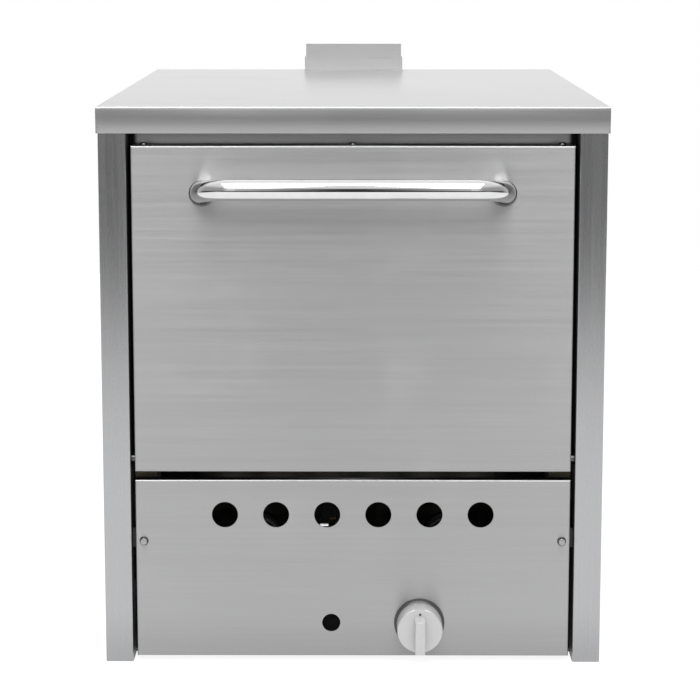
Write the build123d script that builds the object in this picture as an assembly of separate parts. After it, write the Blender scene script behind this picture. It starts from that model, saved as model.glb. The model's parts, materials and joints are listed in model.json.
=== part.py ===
from build123d import *
import os
from math import cos, radians, sin

# Countertop gas deck oven. Millimetres, +Z up, front towards -Y, standing on z = 0.
# Depths are measured back from the front plane, which holds the faces of the two front posts.

# ---- Overall size ----
LID_WIDTH = 610.0
LID_DEPTH = 762.0
HEIGHT = 683.0

# ---- Sheet metal and fits ----
SHEET = 1.5
LINER = 1.2
BEND = 2.0
SEAM = 0.5
PAN_GAP = 0.3
RUN_FIT = 0.05
TURN_GAP = 0.4
HOLE_GAP = 0.2

# ---- Lid and side panels ----
LID_FLANGE = 32.0
POST_WIDTH = 33.5
TOP_FLANGE = 20.0
REAR_FLANGE = 30.0
BASE_FLANGE = 45.0
LAP = SHEET + SEAM
SIDE_X = LID_WIDTH / 2 - LAP
POST_IN = SIDE_X - POST_WIDTH
BODY_DEPTH = LID_DEPTH - 2 * LAP - SHEET
BODY_TOP = HEIGHT - LAP

# ---- Leg holes and air slots in the base ----
LEG_HOLE_R = 5.25
LEG_INSET_X = 23.0
LEG_INSET_FRONT = 60.0
LEG_INSET_REAR = 58.0
SLOT_COUNT = 7
SLOT_WIDTH = 14.0
SLOT_LENGTH = 150.0
SLOT_PITCH = 44.0

# ---- Lower front panel ----
PANEL_BOTTOM = 7.5
PANEL_TOP = 229.3
PANEL_FLANGE = 14.0
FRONT_GAP = 5.0
PANEL_HALF = POST_IN - FRONT_GAP
VENT_COUNT = 6
VENT_R = 31.75 / 2
VENT_PITCH = 62.2
VENT_DROP = 43.4
VENT_Z = PANEL_TOP - VENT_DROP
LIGHTING_R = 22.2 / 2
LIGHTING_X = -26.3
LIGHTING_Z = 49.8
PANEL_SCREW_INSET = 10.0
PANEL_SCREW_X = PANEL_HALF - PANEL_SCREW_INSET
PANEL_SCREW_DROP = 76.3
PANEL_SCREW_Z = PANEL_TOP - PANEL_SCREW_DROP
TAB_REACH = 26.0
TAB_HALF = 12.0

# ---- Door ----
DOOR_GAP_BELOW = 10.0
DOOR_GAP_ABOVE = 14.8
DOOR_DEPTH = 28.0
DOOR_HALF = POST_IN - FRONT_GAP
DOOR_BOTTOM = PANEL_TOP + DOOR_GAP_BELOW
DOOR_TOP = HEIGHT - LID_FLANGE - DOOR_GAP_ABOVE
PAN_FLANGE = 20.0
PAN_HALF = DOOR_HALF - SHEET - PAN_GAP
PAN_BOTTOM = DOOR_BOTTOM + SHEET + PAN_GAP
PAN_TOP = DOOR_TOP - SHEET - PAN_GAP
PLUG_DEPTH = 16.0
PLUG_GAP = 4.0
GASKET_THICK = 8.0
GASKET_WIDTH = 10.0
GASKET_EDGE = 1.5
GASKET_GAP = 0.4

# ---- Door hinge and counterbalance ----
HINGE_BACK = 15.0
HINGE_RISE = 13.8
HINGE_Z = DOOR_BOTTOM + HINGE_RISE
PIN_R = 5.0
BLOCK_WIDTH = 20.0
BLOCK_HALF = 10.5
BRACKET_THICK = 5.0
BRACKET_HALF = 25.0
ARM_THICK = 5.0
ARM_GAP = 1.0
ARM_LENGTH = 60.0
ARM_HALF = 8.0
HUB_R = 10.0
HOOK_PIN_R = 3.0
HOOK_PIN_LENGTH = 10.0
STOP_WIDTH = 8.0
STOP_HEIGHT = 6.0
SPRING_R = 7.0
SPRING_WIRE_R = 1.0
SPRING_ANCHOR_Z = 60.0
SPRING_LOOP_R = HOOK_PIN_R + SPRING_WIRE_R + 1.0
SPRING_END = 20.0
ARM_X = POST_IN + SHEET + BRACKET_THICK + ARM_GAP
SPRING_X = ARM_X + ARM_THICK + HOOK_PIN_LENGTH / 2

# ---- Handle ----
HANDLE_R = 12.7
HANDLE_WALL = 1.6
HANDLE_REACH = 55.0
HANDLE_BEND = 44.0
HANDLE_HALF = 180.0
HANDLE_DROP = 57.0
HANDLE_Z = DOOR_TOP - HANDLE_DROP
HANDLE_TILT = 11.0
HANDLE_PLUG = 16.0
FERRULE_IN_R = 13.6
FERRULE_OUT_R = 15.4
FERRULE_THICK = 2.0
HANDLE_BOLT_R = 4.0
HANDLE_BOLT_HEAD_R = 6.5
HANDLE_BOLT_HEAD = 5.0

# ---- Control knob and gas controls ----
KNOB_X = 81.5
KNOB_Z = 49.8
BEZEL_R = 30.8
BEZEL_THICK = 4.0
KNOB_R = 27.5
KNOB_LENGTH = 27.0
KNOB_CHAMFER = 2.0
GRIP_WIDTH = 12.0
GRIP_UP = 16.2
GRIP_DOWN = 25.3
GRIP_HEIGHT = 15.0
POINTER_R = 1.4
POINTER_OUT = 20.8
STEM_R = 4.0
STEM_HOLE_R = 6.0
STEM_IN_KNOB = 18.0
STEM_IN_BODY = 30.0
CONTROL_FRONT = 22.0
BOSS_R = 12.0
BOSS_LENGTH = 6.0
CONTROL_HALF_X = 27.5
CONTROL_HALF_Z = 26.0
CONTROL_DEPTH = 50.0

# ---- Gas line ----
PIPE_R = 13.35
PIPE_BORE_R = 10.5
PIPE_THREAD_R = 13.1
PIPE_THREAD = 20.0
PIPE_REACH = 30.0
PIPE_INSET = 64.5
PIPE_X = POST_IN - PIPE_INSET
ELBOW_R = 17.0
ELBOW_LEG = 18.0
ELBOW_BALL = 0.3
GAS_DEPTH = 60.0
VALVE_HALF_Z = 20.0
VALVE_HALF_Y = 22.0
BUTTON_R = 8.0
BUTTON_THICK = 6.0
BUTTON_STEM_R = 3.0
BUTTON_STEM = 26.0
BUTTON_TRAVEL = 4.0
MANIFOLD_R = 10.65
MANIFOLD_DEPTH = 50.0
MANIFOLD_END = 20.0

# ---- Oven chamber ----
SIDE_INSULATION = 25.0
SIDE_AIR = 1.5
TOP_INSULATION = 50.0
TOP_AIR = 5.0
BACK_INSULATION = 40.0
REAR_SPACE = 120.0
FRAME_DEPTH = DOOR_DEPTH + GASKET_THICK + GASKET_GAP
FRAME_BOTTOM = PANEL_TOP + 5.0
CAVITY_HALF = POST_IN - SIDE_AIR - SIDE_INSULATION - LINER
CAVITY_FRONT = FRAME_DEPTH + SHEET
POST_RETURN = CAVITY_FRONT + 2 * RUN_FIT
CAVITY_BACK = BODY_DEPTH - REAR_SPACE
CAVITY_TOP = HEIGHT - SHEET - TOP_AIR - TOP_INSULATION - LINER
BURNER_BOX_BOTTOM = 90.0
MOUTH_BOTTOM = DOOR_BOTTOM + 27.0
MOUTH_TOP = DOOR_TOP - 18.5
FLOOR_Z = MOUTH_BOTTOM - 12.0
HEAT_SLOT_LENGTH = 100.0
HEAT_SLOT_WIDTH = 25.0
HEAT_SLOT_COUNT = 4

# ---- Hearth decks ----
STONE_THICK = 19.0
STONE_SIDE_GAP = 4.0
STONE_BACK_GAP = 15.0
STONE_SETBACK = 20.6
STONE_FRONT = CAVITY_FRONT + STONE_SETBACK
LOWER_STONE_Z = MOUTH_BOTTOM + 9.0
DECK_PITCH = 172.0
RAIL_LEDGE = 16.0
RAIL_LEG = 15.0
TRIM_LEDGE = 12.0

# ---- Burners ----
BURNER_X = 115.0
BURNER_Z = 140.0
BURNER_R = 19.0
BURNER_WALL = 3.0
BURNER_FRONT = 70.0
BURNER_REAR_GAP = 36.0
FIRE_WALL_DEPTH = 96.0
SHUTTER_GAP = 0.4
SHUTTER_WALL = 3.0
SHUTTER_LENGTH = 20.0
WINDOW_LENGTH = 11.0
WINDOW_HALF = 9.0
ORIFICE_R = 6.0
ORIFICE_TIP = 8.0
PORT_COUNT = 24
PORT_PITCH = 19.0
PORT_LENGTH = 14.0
PORT_WIDTH = 2.0
SUPPORT_HALF_Z = 30.0

# ---- Pilot, thermocouple and temperature bulb ----
PILOT_DEPTH = 112.0
PILOT_R = 5.0
PILOT_LOW = 118.0
PILOT_HIGH = 150.0
PILOT_TUBE_R = 3.0
COUPLE_X = LIGHTING_X + 14.0
COUPLE_R = 2.5
COUPLE_LEAD_R = 1.5
CAPILLARY_R = 1.2
CAPILLARY_DEPTH = 140.0
BULB_R = 5.0
BULB_LENGTH = 140.0
BULB_OFF_WALL = 10.0
BULB_PLACE = 0.46
CLIP_WIDTH = 8.0
CLIP_THICK = 1.5

# ---- Flue ----
FLUE_HALF = 72.5
FLUE_DEEP = 33.0
FLUE_DROP = 65.3
FLUE_LOW = CAVITY_TOP - FLUE_DROP
FLUE_RISE = 21.0
DEFLECTOR_RISE = 41.0
DEFLECTOR_TAIL = 40.0
CHEEK_THICK = 2.0
CHEEK_TAIL = 10.0
CHEEK_CHAMFER = 7.0
THROAT_HALF = 60.0
THROAT_RISE = 10.0
THROAT_LOW = FLUE_LOW + THROAT_RISE
THROAT_TALL = 40.0
FLUE_BACK = BODY_DEPTH - SEAM
FLUE_FRONT = FLUE_BACK - FLUE_DEEP

# ---- Fasteners ----
SCREW_R = 2.0
SCREW_HEAD_R = 4.0
SCREW_HEAD = 2.5
SCREW_LENGTH = 10.0
BACK_SCREW_ROWS = 4
BACK_SCREW_INSET = 15.0
BACK_SCREW_LOW = 60.0
LID_SCREW_X = 200.0
DOOR_SCREW_R = 2.5
DOOR_SCREW_HEAD_R = 4.75
DOOR_SCREW_HEAD = 3.0
DOOR_SCREW_LENGTH = 9.0
DOOR_SCREW_DEPTH = 14.0
DOOR_SCREW_INSET = 15.0
LOW_SCREW_LEFT_INSET = 39.5
LOW_SCREW_RIGHT_INSET = 27.5
PANEL_SCREW_R = 2.5
PANEL_SCREW_LENGTH = 20.0
WASHER_R = 5.5
WASHER_THICK = 1.0
HEX_R = 4.4
HEX_THICK = 4.0

# The front plane's place puts the whole oven's box centred on y = 0.
REACH_AHEAD = HANDLE_REACH + HANDLE_R
REACH_BEHIND = BODY_DEPTH + SHEET + PIPE_REACH
FRONT = (REACH_AHEAD - REACH_BEHIND) / 2

MID = Align.CENTER
LOW = Align.MIN


def block(x0, x1, d0, d1, z0, z1):
    """Box between two x values, two depths behind the front plane and two heights."""
    place = Pos((x0 + x1) / 2, FRONT + (d0 + d1) / 2, (z0 + z1) / 2)
    return place * Box(x1 - x0, d1 - d0, z1 - z0)


def rod_x(radius, x0, x1, depth, z):
    """Cylinder along X."""
    return Pos((x0 + x1) / 2, FRONT + depth, z) * Rot(0, 90, 0) * Cylinder(radius, x1 - x0)


def rod_y(radius, x, d0, d1, z):
    """Cylinder along Y."""
    return Pos(x, FRONT + (d0 + d1) / 2, z) * Rot(90, 0, 0) * Cylinder(radius, d1 - d0)


def rod_z(radius, x, depth, z0, z1):
    """Upright cylinder."""
    return Pos(x, FRONT + depth, (z0 + z1) / 2) * Cylinder(radius, z1 - z0)


def joined(solids):
    """One node of several separate solids, or one fused solid where they meet."""
    return Part() + list(solids)


def mirrored(right):
    """The left-hand twin of a right-hand piece."""
    return right.mirror(Plane.YZ)


def tray(width, height, depth, thickness):
    """Folded tray: its face looks to -Y at y = 0 and its four sides run back."""
    body = Box(width, depth, height, align=(MID, LOW, MID))
    body = fillet(body.faces().sort_by(Axis.Y)[0].edges(), BEND)
    hollow = Box(width - 2 * thickness, depth, height - 2 * thickness, align=(MID, LOW, MID))
    return body - Pos(0, thickness, 0) * hollow


def tube_along(points, bends, radius):
    """Round bar along straight runs joined by arcs; points are x, depth and height."""
    path = FilletPolyline(*[(x, FRONT + d, z) for x, d, z in points], radius=bends)
    return sweep((path ^ 0) * Circle(radius), path=path)


# ---- Cabinet shell ----


def lid():
    shell = Rot(-90, 0, 0) * tray(LID_WIDTH, LID_DEPTH, LID_FLANGE, SHEET)
    shell = Pos(0, FRONT - LAP + LID_DEPTH / 2, HEIGHT) * shell
    notch_half = FLUE_HALF + CHEEK_THICK + SEAM
    notch_front = FLUE_FRONT - SHEET - SEAM
    shell -= block(-notch_half, notch_half, notch_front, LID_DEPTH, HEIGHT - LID_FLANGE - 1, HEIGHT + 1)
    return shell - lid_screw_shanks(SCREW_R + HOLE_GAP)


def side_panel_right():
    """Outer sheet with its front post, the post's return and its top, rear and base flanges."""
    skin = block(SIDE_X - SHEET, SIDE_X, 0, BODY_DEPTH, 0, BODY_TOP)
    face = block(POST_IN, SIDE_X, 0, SHEET, 0, BODY_TOP)
    edge = block(POST_IN, POST_IN + SHEET, 0, POST_RETURN, 0, BODY_TOP)
    panel = skin + face + edge
    corners = panel.edges().filter_by(Axis.Z).group_by(Axis.Y)[0]
    panel = fillet(corners, BEND)
    panel += block(SIDE_X - TOP_FLANGE, SIDE_X - SHEET / 2, POST_RETURN, BODY_DEPTH, BODY_TOP - SHEET, BODY_TOP)
    panel += block(SIDE_X - REAR_FLANGE, SIDE_X - SHEET / 2, BODY_DEPTH - SHEET, BODY_DEPTH, 0, BODY_TOP)
    panel += block(SIDE_X - BASE_FLANGE, SIDE_X - SHEET / 2, POST_RETURN, BODY_DEPTH, 0, SHEET)
    tab_depth = PANEL_FLANGE + 1.0
    panel += block(
        POST_IN - TAB_REACH, POST_IN + SHEET / 2, tab_depth, tab_depth + SHEET,
        PANEL_SCREW_Z - TAB_HALF, PANEL_SCREW_Z + TAB_HALF,
    )
    panel += rod_x(HOOK_PIN_R, SPRING_X - HOOK_PIN_LENGTH / 2, SIDE_X - SHEET / 2, HINGE_BACK, SPRING_ANCHOR_Z)
    panel -= rod_x(PIN_R + 3, POST_IN - 1, POST_IN + SHEET + 1, HINGE_BACK, HINGE_Z)
    panel -= rod_y(PANEL_SCREW_R + HOLE_GAP, PANEL_SCREW_X, 0, POST_RETURN, PANEL_SCREW_Z)
    panel -= back_screw_shanks(SCREW_R + HOLE_GAP)
    return panel - leg_holes()


def leg_holes():
    places = [
        (side * (SIDE_X - LEG_INSET_X), depth)
        for side in (-1, 1)
        for depth in (LEG_INSET_FRONT, BODY_DEPTH - LEG_INSET_REAR)
    ]
    return joined(rod_z(LEG_HOLE_R, x, depth, -1, 3 * SHEET) for x, depth in places)


def back_panel():
    panel = block(-SIDE_X, SIDE_X, BODY_DEPTH, BODY_DEPTH + SHEET, 2 * SHEET, BODY_TOP)
    panel -= rod_y(PIPE_R + 1.5, PIPE_X, BODY_DEPTH - 1, BODY_DEPTH + SHEET + 1, KNOB_Z)
    return panel - back_screw_shanks(SCREW_R + HOLE_GAP) - lid_screw_shanks(SCREW_R + HOLE_GAP)


def base_pan():
    half = SIDE_X - SHEET - SEAM
    rear = BODY_DEPTH - SHEET - SEAM
    pan = block(-half, half, POST_RETURN + 1, rear, SHEET, 2 * SHEET)
    for row_middle in (0.33, 0.7):
        middle = rear * row_middle
        for i in range(SLOT_COUNT):
            x = (i - (SLOT_COUNT - 1) / 2) * SLOT_PITCH
            pan -= block(
                x - SLOT_WIDTH / 2, x + SLOT_WIDTH / 2,
                middle - SLOT_LENGTH / 2, middle + SLOT_LENGTH / 2, 0, 3 * SHEET,
            )
    return pan - leg_holes()


def lower_front_panel():
    height = PANEL_TOP - PANEL_BOTTOM
    panel = Pos(0, FRONT, PANEL_BOTTOM + height / 2) * tray(2 * PANEL_HALF, height, PANEL_FLANGE, SHEET)
    for i in range(VENT_COUNT):
        x = (i - (VENT_COUNT - 1) / 2) * VENT_PITCH
        panel -= rod_y(VENT_R, x, -1, PANEL_FLANGE, VENT_Z)
    panel -= rod_y(LIGHTING_R, LIGHTING_X, -1, PANEL_FLANGE, LIGHTING_Z)
    panel -= rod_y(STEM_HOLE_R, KNOB_X, -1, PANEL_FLANGE, KNOB_Z)
    for side in (-1, 1):
        panel -= rod_y(PANEL_SCREW_R + HOLE_GAP, side * PANEL_SCREW_X, -1, PANEL_FLANGE, PANEL_SCREW_Z)
    return panel


# ---- Oven chamber ----


def oven_front_frame():
    """Face frame behind the door, with the oven's mouth in it."""
    half = POST_IN - SEAM
    frame = block(-half, half, FRAME_DEPTH, FRAME_DEPTH + SHEET, FRAME_BOTTOM, BODY_TOP - SHEET)
    frame += block(
        -half, half, FRAME_DEPTH, FRAME_DEPTH + TOP_FLANGE, BODY_TOP - SHEET, BODY_TOP,
    )
    mouth = block(-CAVITY_HALF, CAVITY_HALF, FRAME_DEPTH - 1, CAVITY_FRONT + 1, MOUTH_BOTTOM, MOUTH_TOP)
    return frame - mouth


def liner_right():
    liner = block(
        CAVITY_HALF, CAVITY_HALF + LINER, CAVITY_FRONT, CAVITY_BACK + LINER,
        BURNER_BOX_BOTTOM, CAVITY_TOP + LINER,
    )
    return liner - capillary_passage()


def capillary_passage():
    return rod_x(CAPILLARY_R + 2, CAVITY_HALF - 1, POST_IN, CAPILLARY_DEPTH, bulb_z())


def liner_left():
    return block(
        -CAVITY_HALF - LINER, -CAVITY_HALF, CAVITY_FRONT, CAVITY_BACK + LINER,
        BURNER_BOX_BOTTOM, CAVITY_TOP + LINER,
    )


def liner_top():
    return block(-CAVITY_HALF, CAVITY_HALF, CAVITY_FRONT, CAVITY_BACK, CAVITY_TOP, CAVITY_TOP + LINER)


def liner_back():
    """Rear liner with the flue throat welded to it."""
    sheet = block(
        -CAVITY_HALF, CAVITY_HALF, CAVITY_BACK, CAVITY_BACK + LINER,
        BURNER_BOX_BOTTOM, CAVITY_TOP + LINER,
    )
    throat = block(
        -THROAT_HALF, THROAT_HALF, CAVITY_BACK, FLUE_FRONT, THROAT_LOW, THROAT_LOW + THROAT_TALL,
    )
    way = block(
        -THROAT_HALF + LINER, THROAT_HALF - LINER, CAVITY_BACK - 1, FLUE_FRONT + 1,
        THROAT_LOW + LINER, THROAT_LOW + THROAT_TALL - LINER,
    )
    return sheet + throat - way


def oven_floor():
    """Steel floor over the burners, with heat slots along both sides."""
    floor = block(-CAVITY_HALF, CAVITY_HALF, CAVITY_FRONT, CAVITY_BACK, FLOOR_Z, FLOOR_Z + SHEET)
    pitch = (CAVITY_BACK - CAVITY_FRONT) / HEAT_SLOT_COUNT
    for i in range(HEAT_SLOT_COUNT):
        middle = CAVITY_FRONT + pitch * (i + 0.5)
        for side in (-1, 1):
            x = side * (CAVITY_HALF - RAIL_LEDGE - HEAT_SLOT_WIDTH / 2)
            floor -= block(
                x - HEAT_SLOT_WIDTH / 2, x + HEAT_SLOT_WIDTH / 2,
                middle - HEAT_SLOT_LENGTH / 2, middle + HEAT_SLOT_LENGTH / 2, FLOOR_Z - 1, FLOOR_Z + SHEET + 1,
            )
    return floor


def insulation_right():
    inner = CAVITY_HALF + LINER
    mat = block(
        inner, inner + SIDE_INSULATION, CAVITY_FRONT + 2, CAVITY_BACK + LINER,
        BURNER_BOX_BOTTOM, CAVITY_TOP + LINER,
    )
    return mat - capillary_passage()


def insulation_left():
    inner = CAVITY_HALF + LINER
    return block(
        -inner - SIDE_INSULATION, -inner, CAVITY_FRONT + 2, CAVITY_BACK + LINER,
        BURNER_BOX_BOTTOM, CAVITY_TOP + LINER,
    )


def insulation_top():
    half = CAVITY_HALF + LINER + SIDE_INSULATION
    return block(
        -half, half, FRAME_DEPTH + TOP_FLANGE + 1, CAVITY_BACK + LINER + BACK_INSULATION,
        CAVITY_TOP + LINER, CAVITY_TOP + LINER + TOP_INSULATION,
    )


def insulation_back():
    half = CAVITY_HALF + LINER + SIDE_INSULATION
    mat = block(
        -half, half, CAVITY_BACK + LINER, CAVITY_BACK + LINER + BACK_INSULATION,
        BURNER_BOX_BOTTOM, CAVITY_TOP + LINER,
    )
    return mat - block(
        -THROAT_HALF, THROAT_HALF, CAVITY_BACK, FLUE_FRONT, THROAT_LOW, THROAT_LOW + THROAT_TALL,
    )


def deck_levels():
    return (LOWER_STONE_Z, LOWER_STONE_Z + DECK_PITCH)


def hearth_stone(level):
    half = CAVITY_HALF - STONE_SIDE_GAP
    stone = block(-half, half, STONE_FRONT, CAVITY_BACK - STONE_BACK_GAP, level, level + STONE_THICK)
    return chamfer(stone.faces().sort_by(Axis.Z)[-1].edges(), 1.5)


def deck_rail_right():
    """Two angle rails on the liner wall, one under each stone."""
    start = STONE_FRONT + TRIM_LEDGE + 1
    rails = []
    for level in deck_levels():
        ledge = block(CAVITY_HALF - RAIL_LEDGE, CAVITY_HALF, start, CAVITY_BACK - 1, level - SHEET, level)
        leg = block(CAVITY_HALF - SHEET, CAVITY_HALF, start, CAVITY_BACK - 1, level - RAIL_LEG, level)
        rails.append(ledge + leg)
    return joined(rails)


def deck_fronts():
    """Angle across the front edge of each stone."""
    fronts = []
    for level in deck_levels():
        lip = block(
            -CAVITY_HALF, CAVITY_HALF, STONE_FRONT - SHEET, STONE_FRONT, level - SHEET, level + STONE_THICK,
        )
        ledge = block(
            -CAVITY_HALF, CAVITY_HALF, STONE_FRONT - SHEET, STONE_FRONT + TRIM_LEDGE, level - SHEET, level,
        )
        fronts.append(lip + ledge)
    return joined(fronts)


# ---- Burners and gas line ----


def fire_wall():
    """Sheet between the control space and the burner space, hung under the oven floor."""
    wall = block(
        -CAVITY_HALF, CAVITY_HALF, FIRE_WALL_DEPTH, FIRE_WALL_DEPTH + LINER, BURNER_BOX_BOTTOM, FLOOR_Z,
    )
    for side in (-1, 1):
        wall -= rod_y(BURNER_R, side * BURNER_X, FIRE_WALL_DEPTH - 1, FIRE_WALL_DEPTH + 5, BURNER_Z)
    wall -= block(
        LIGHTING_X - 15, LIGHTING_X + 15, FIRE_WALL_DEPTH - 1, FIRE_WALL_DEPTH + 5,
        PILOT_HIGH - 6, PILOT_HIGH + 24,
    )
    return wall


def burner(x):
    """Tube burner: open mixing mouth in front, closed rear end, ports along the top."""
    rear = CAVITY_BACK - BURNER_REAR_GAP
    tube = rod_y(BURNER_R, x, BURNER_FRONT, rear, BURNER_Z)
    tube -= rod_y(BURNER_R - BURNER_WALL, x, BURNER_FRONT - 1, rear - BURNER_WALL, BURNER_Z)
    for i in range(PORT_COUNT):
        middle = FIRE_WALL_DEPTH + 30 + i * PORT_PITCH
        if middle < rear - PORT_LENGTH:
            tube -= block(
                x - PORT_WIDTH / 2, x + PORT_WIDTH / 2, middle - PORT_LENGTH / 2, middle + PORT_LENGTH / 2,
                BURNER_Z, BURNER_Z + BURNER_R + 1,
            )
    return tube - air_windows(x)


def air_windows(x):
    start = BURNER_FRONT + (SHUTTER_LENGTH - WINDOW_LENGTH) / 2
    reach = BURNER_R + SHUTTER_GAP + SHUTTER_WALL + 1
    return block(x - reach, x + reach, start, start + WINDOW_LENGTH, BURNER_Z - WINDOW_HALF, BURNER_Z + WINDOW_HALF)


def air_shutter(x):
    """Ring that turns on the burner's mouth to open or shut its air windows."""
    inner = BURNER_R + SHUTTER_GAP
    ring = rod_y(inner + SHUTTER_WALL, x, BURNER_FRONT, BURNER_FRONT + SHUTTER_LENGTH, BURNER_Z)
    ring -= rod_y(inner, x, BURNER_FRONT - 1, BURNER_FRONT + SHUTTER_LENGTH + 1, BURNER_Z)
    return ring - air_windows(x)


def burner_support():
    depth = CAVITY_BACK - BURNER_REAR_GAP - 30
    plate = block(
        -CAVITY_HALF, CAVITY_HALF, depth, depth + SHEET, BURNER_Z - SUPPORT_HALF_Z, BURNER_Z + SUPPORT_HALF_Z,
    )
    for side in (-1, 1):
        plate -= rod_y(BURNER_R, side * BURNER_X, depth - 1, depth + SHEET + 1, BURNER_Z)
    return plate


def gas_manifold():
    """Cross pipe with the riser from the thermostat and an orifice seat for each burner."""
    end = BURNER_X + MANIFOLD_END
    pipe = rod_x(MANIFOLD_R, -end, end, MANIFOLD_DEPTH, BURNER_Z)
    pipe += rod_z(MANIFOLD_R, KNOB_X, MANIFOLD_DEPTH, KNOB_Z + CONTROL_HALF_Z, BURNER_Z)
    for side in (-1, 1):
        pipe += rod_y(
            ORIFICE_R + 1.5, side * BURNER_X, MANIFOLD_DEPTH, MANIFOLD_DEPTH + MANIFOLD_R + 3, BURNER_Z,
        )
    return pipe


def burner_orifices():
    """Brass gas jets, one in each burner's mouth."""
    start = MANIFOLD_DEPTH + MANIFOLD_R + 3
    jets = []
    for side in (-1, 1):
        jet = rod_y(ORIFICE_R, side * BURNER_X, start, BURNER_FRONT + ORIFICE_TIP, BURNER_Z)
        tip_edge = jet.faces().sort_by(Axis.Y)[-1].edges()
        jets.append(chamfer(tip_edge, 2.0))
    return joined(jets)


def gas_inlet_pipe():
    """Supply pipe from the back of the oven, with its threaded end outside."""
    rear = BODY_DEPTH + SHEET + PIPE_REACH
    start = GAS_DEPTH + ELBOW_LEG
    pipe = rod_y(PIPE_R, PIPE_X, start, rear - PIPE_THREAD, KNOB_Z)
    pipe += rod_y(PIPE_THREAD_R, PIPE_X, rear - PIPE_THREAD - 1, rear, KNOB_Z)
    return pipe - rod_y(PIPE_BORE_R, PIPE_X, start - 1, rear + 1, KNOB_Z)


def gas_elbow():
    elbow = Pos(PIPE_X, FRONT + GAS_DEPTH, KNOB_Z) * Sphere(ELBOW_R + ELBOW_BALL)
    elbow += rod_y(ELBOW_R, PIPE_X, GAS_DEPTH, GAS_DEPTH + ELBOW_LEG, KNOB_Z)
    return elbow + rod_x(ELBOW_R, PIPE_X - ELBOW_LEG, PIPE_X, GAS_DEPTH, KNOB_Z)


def valve_span():
    """The x values between which the safety valve lies: pipe nipple to elbow."""
    return KNOB_X + CONTROL_HALF_X + 20, PIPE_X - ELBOW_LEG


def safety_valve():
    x0, x1 = valve_span()
    front = GAS_DEPTH - VALVE_HALF_Y
    body = block(x0, x1, front, GAS_DEPTH + VALVE_HALF_Y, KNOB_Z - VALVE_HALF_Z, KNOB_Z + VALVE_HALF_Z)
    body = fillet(body.edges().filter_by(Axis.Y), 4.0)
    return body - rod_y(BUTTON_STEM_R + RUN_FIT, (x0 + x1) / 2, front - 1, GAS_DEPTH + 10, KNOB_Z)


def reset_button():
    x0, x1 = valve_span()
    middle = (x0 + x1) / 2
    cap_back = GAS_DEPTH - VALVE_HALF_Y - BUTTON_TRAVEL - 2
    cap = rod_y(BUTTON_R, middle, cap_back - BUTTON_THICK, cap_back, KNOB_Z)
    cap = fillet(cap.faces().sort_by(Axis.Y)[0].edges(), 1.5)
    return cap + rod_y(BUTTON_STEM_R, middle, cap_back - 1, cap_back + BUTTON_STEM, KNOB_Z)


def thermostat_body():
    """Gas thermostat behind the panel, with its stem boss and the nipple to the valve."""
    front = CONTROL_FRONT + BOSS_LENGTH
    body = block(
        KNOB_X - CONTROL_HALF_X, KNOB_X + CONTROL_HALF_X, front, front + CONTROL_DEPTH,
        KNOB_Z - CONTROL_HALF_Z, KNOB_Z + CONTROL_HALF_Z,
    )
    body += rod_y(BOSS_R, KNOB_X, CONTROL_FRONT, front + 1, KNOB_Z)
    body += rod_x(MANIFOLD_R, KNOB_X, valve_span()[0], GAS_DEPTH, KNOB_Z)
    return body - rod_y(STEM_R + RUN_FIT, KNOB_X, CONTROL_FRONT - 1, CONTROL_FRONT + STEM_IN_BODY + 1, KNOB_Z)


def thermostat_stem():
    knob_back = -BEZEL_THICK - 1
    return rod_y(STEM_R, KNOB_X, knob_back - STEM_IN_KNOB, CONTROL_FRONT + STEM_IN_BODY, KNOB_Z)


def knob_bezel():
    ring = rod_y(BEZEL_R, KNOB_X, -BEZEL_THICK, 0, KNOB_Z)
    ring = chamfer(ring.faces().sort_by(Axis.Y)[0].edges(), 1.0)
    return ring - rod_y(STEM_HOLE_R, KNOB_X, -BEZEL_THICK - 1, 1, KNOB_Z)


def control_knob():
    """Round knob with an upright grip bar and a pointer dimple above it."""
    back = -BEZEL_THICK - 1
    face = back - KNOB_LENGTH
    knob = rod_y(KNOB_R, KNOB_X, face, back, KNOB_Z)
    knob = chamfer(knob.faces().sort_by(Axis.Y)[0].edges(), KNOB_CHAMFER)
    grip = block(
        KNOB_X - GRIP_WIDTH / 2, KNOB_X + GRIP_WIDTH / 2, face - GRIP_HEIGHT, face + 1,
        KNOB_Z - GRIP_DOWN, KNOB_Z + GRIP_UP,
    )
    knob += chamfer(grip.faces().sort_by(Axis.Y)[0].edges(), 1.0)
    knob -= rod_y(POINTER_R, KNOB_X, face - 1, face + 1, KNOB_Z + POINTER_OUT)
    return knob - rod_y(STEM_R + RUN_FIT, KNOB_X, back - STEM_IN_KNOB - RUN_FIT, back + 1, KNOB_Z)


def pilot_burner():
    """Pilot on a small bracket behind the fire wall, in line with the lighting hole."""
    pilot = rod_z(PILOT_R, LIGHTING_X, PILOT_DEPTH, PILOT_LOW, PILOT_HIGH)
    foot = block(
        LIGHTING_X - 10, COUPLE_X + 8, FIRE_WALL_DEPTH + LINER, PILOT_DEPTH + PILOT_R + 2,
        PILOT_LOW + 4, PILOT_LOW + 4 + SHEET,
    )
    couple_hole = rod_z(COUPLE_R, COUPLE_X, PILOT_DEPTH, PILOT_LOW, PILOT_HIGH)
    return pilot + foot - couple_hole


def pilot_tube():
    x0, x1 = valve_span()
    start = GAS_DEPTH + VALVE_HALF_Y
    x = (x0 + x1) / 2 - 8
    z = KNOB_Z - 8
    points = [(x, start, z), (x, PILOT_DEPTH, z), (LIGHTING_X, PILOT_DEPTH, z), (LIGHTING_X, PILOT_DEPTH, PILOT_LOW)]
    return tube_along(points, 12.0, PILOT_TUBE_R)


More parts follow.
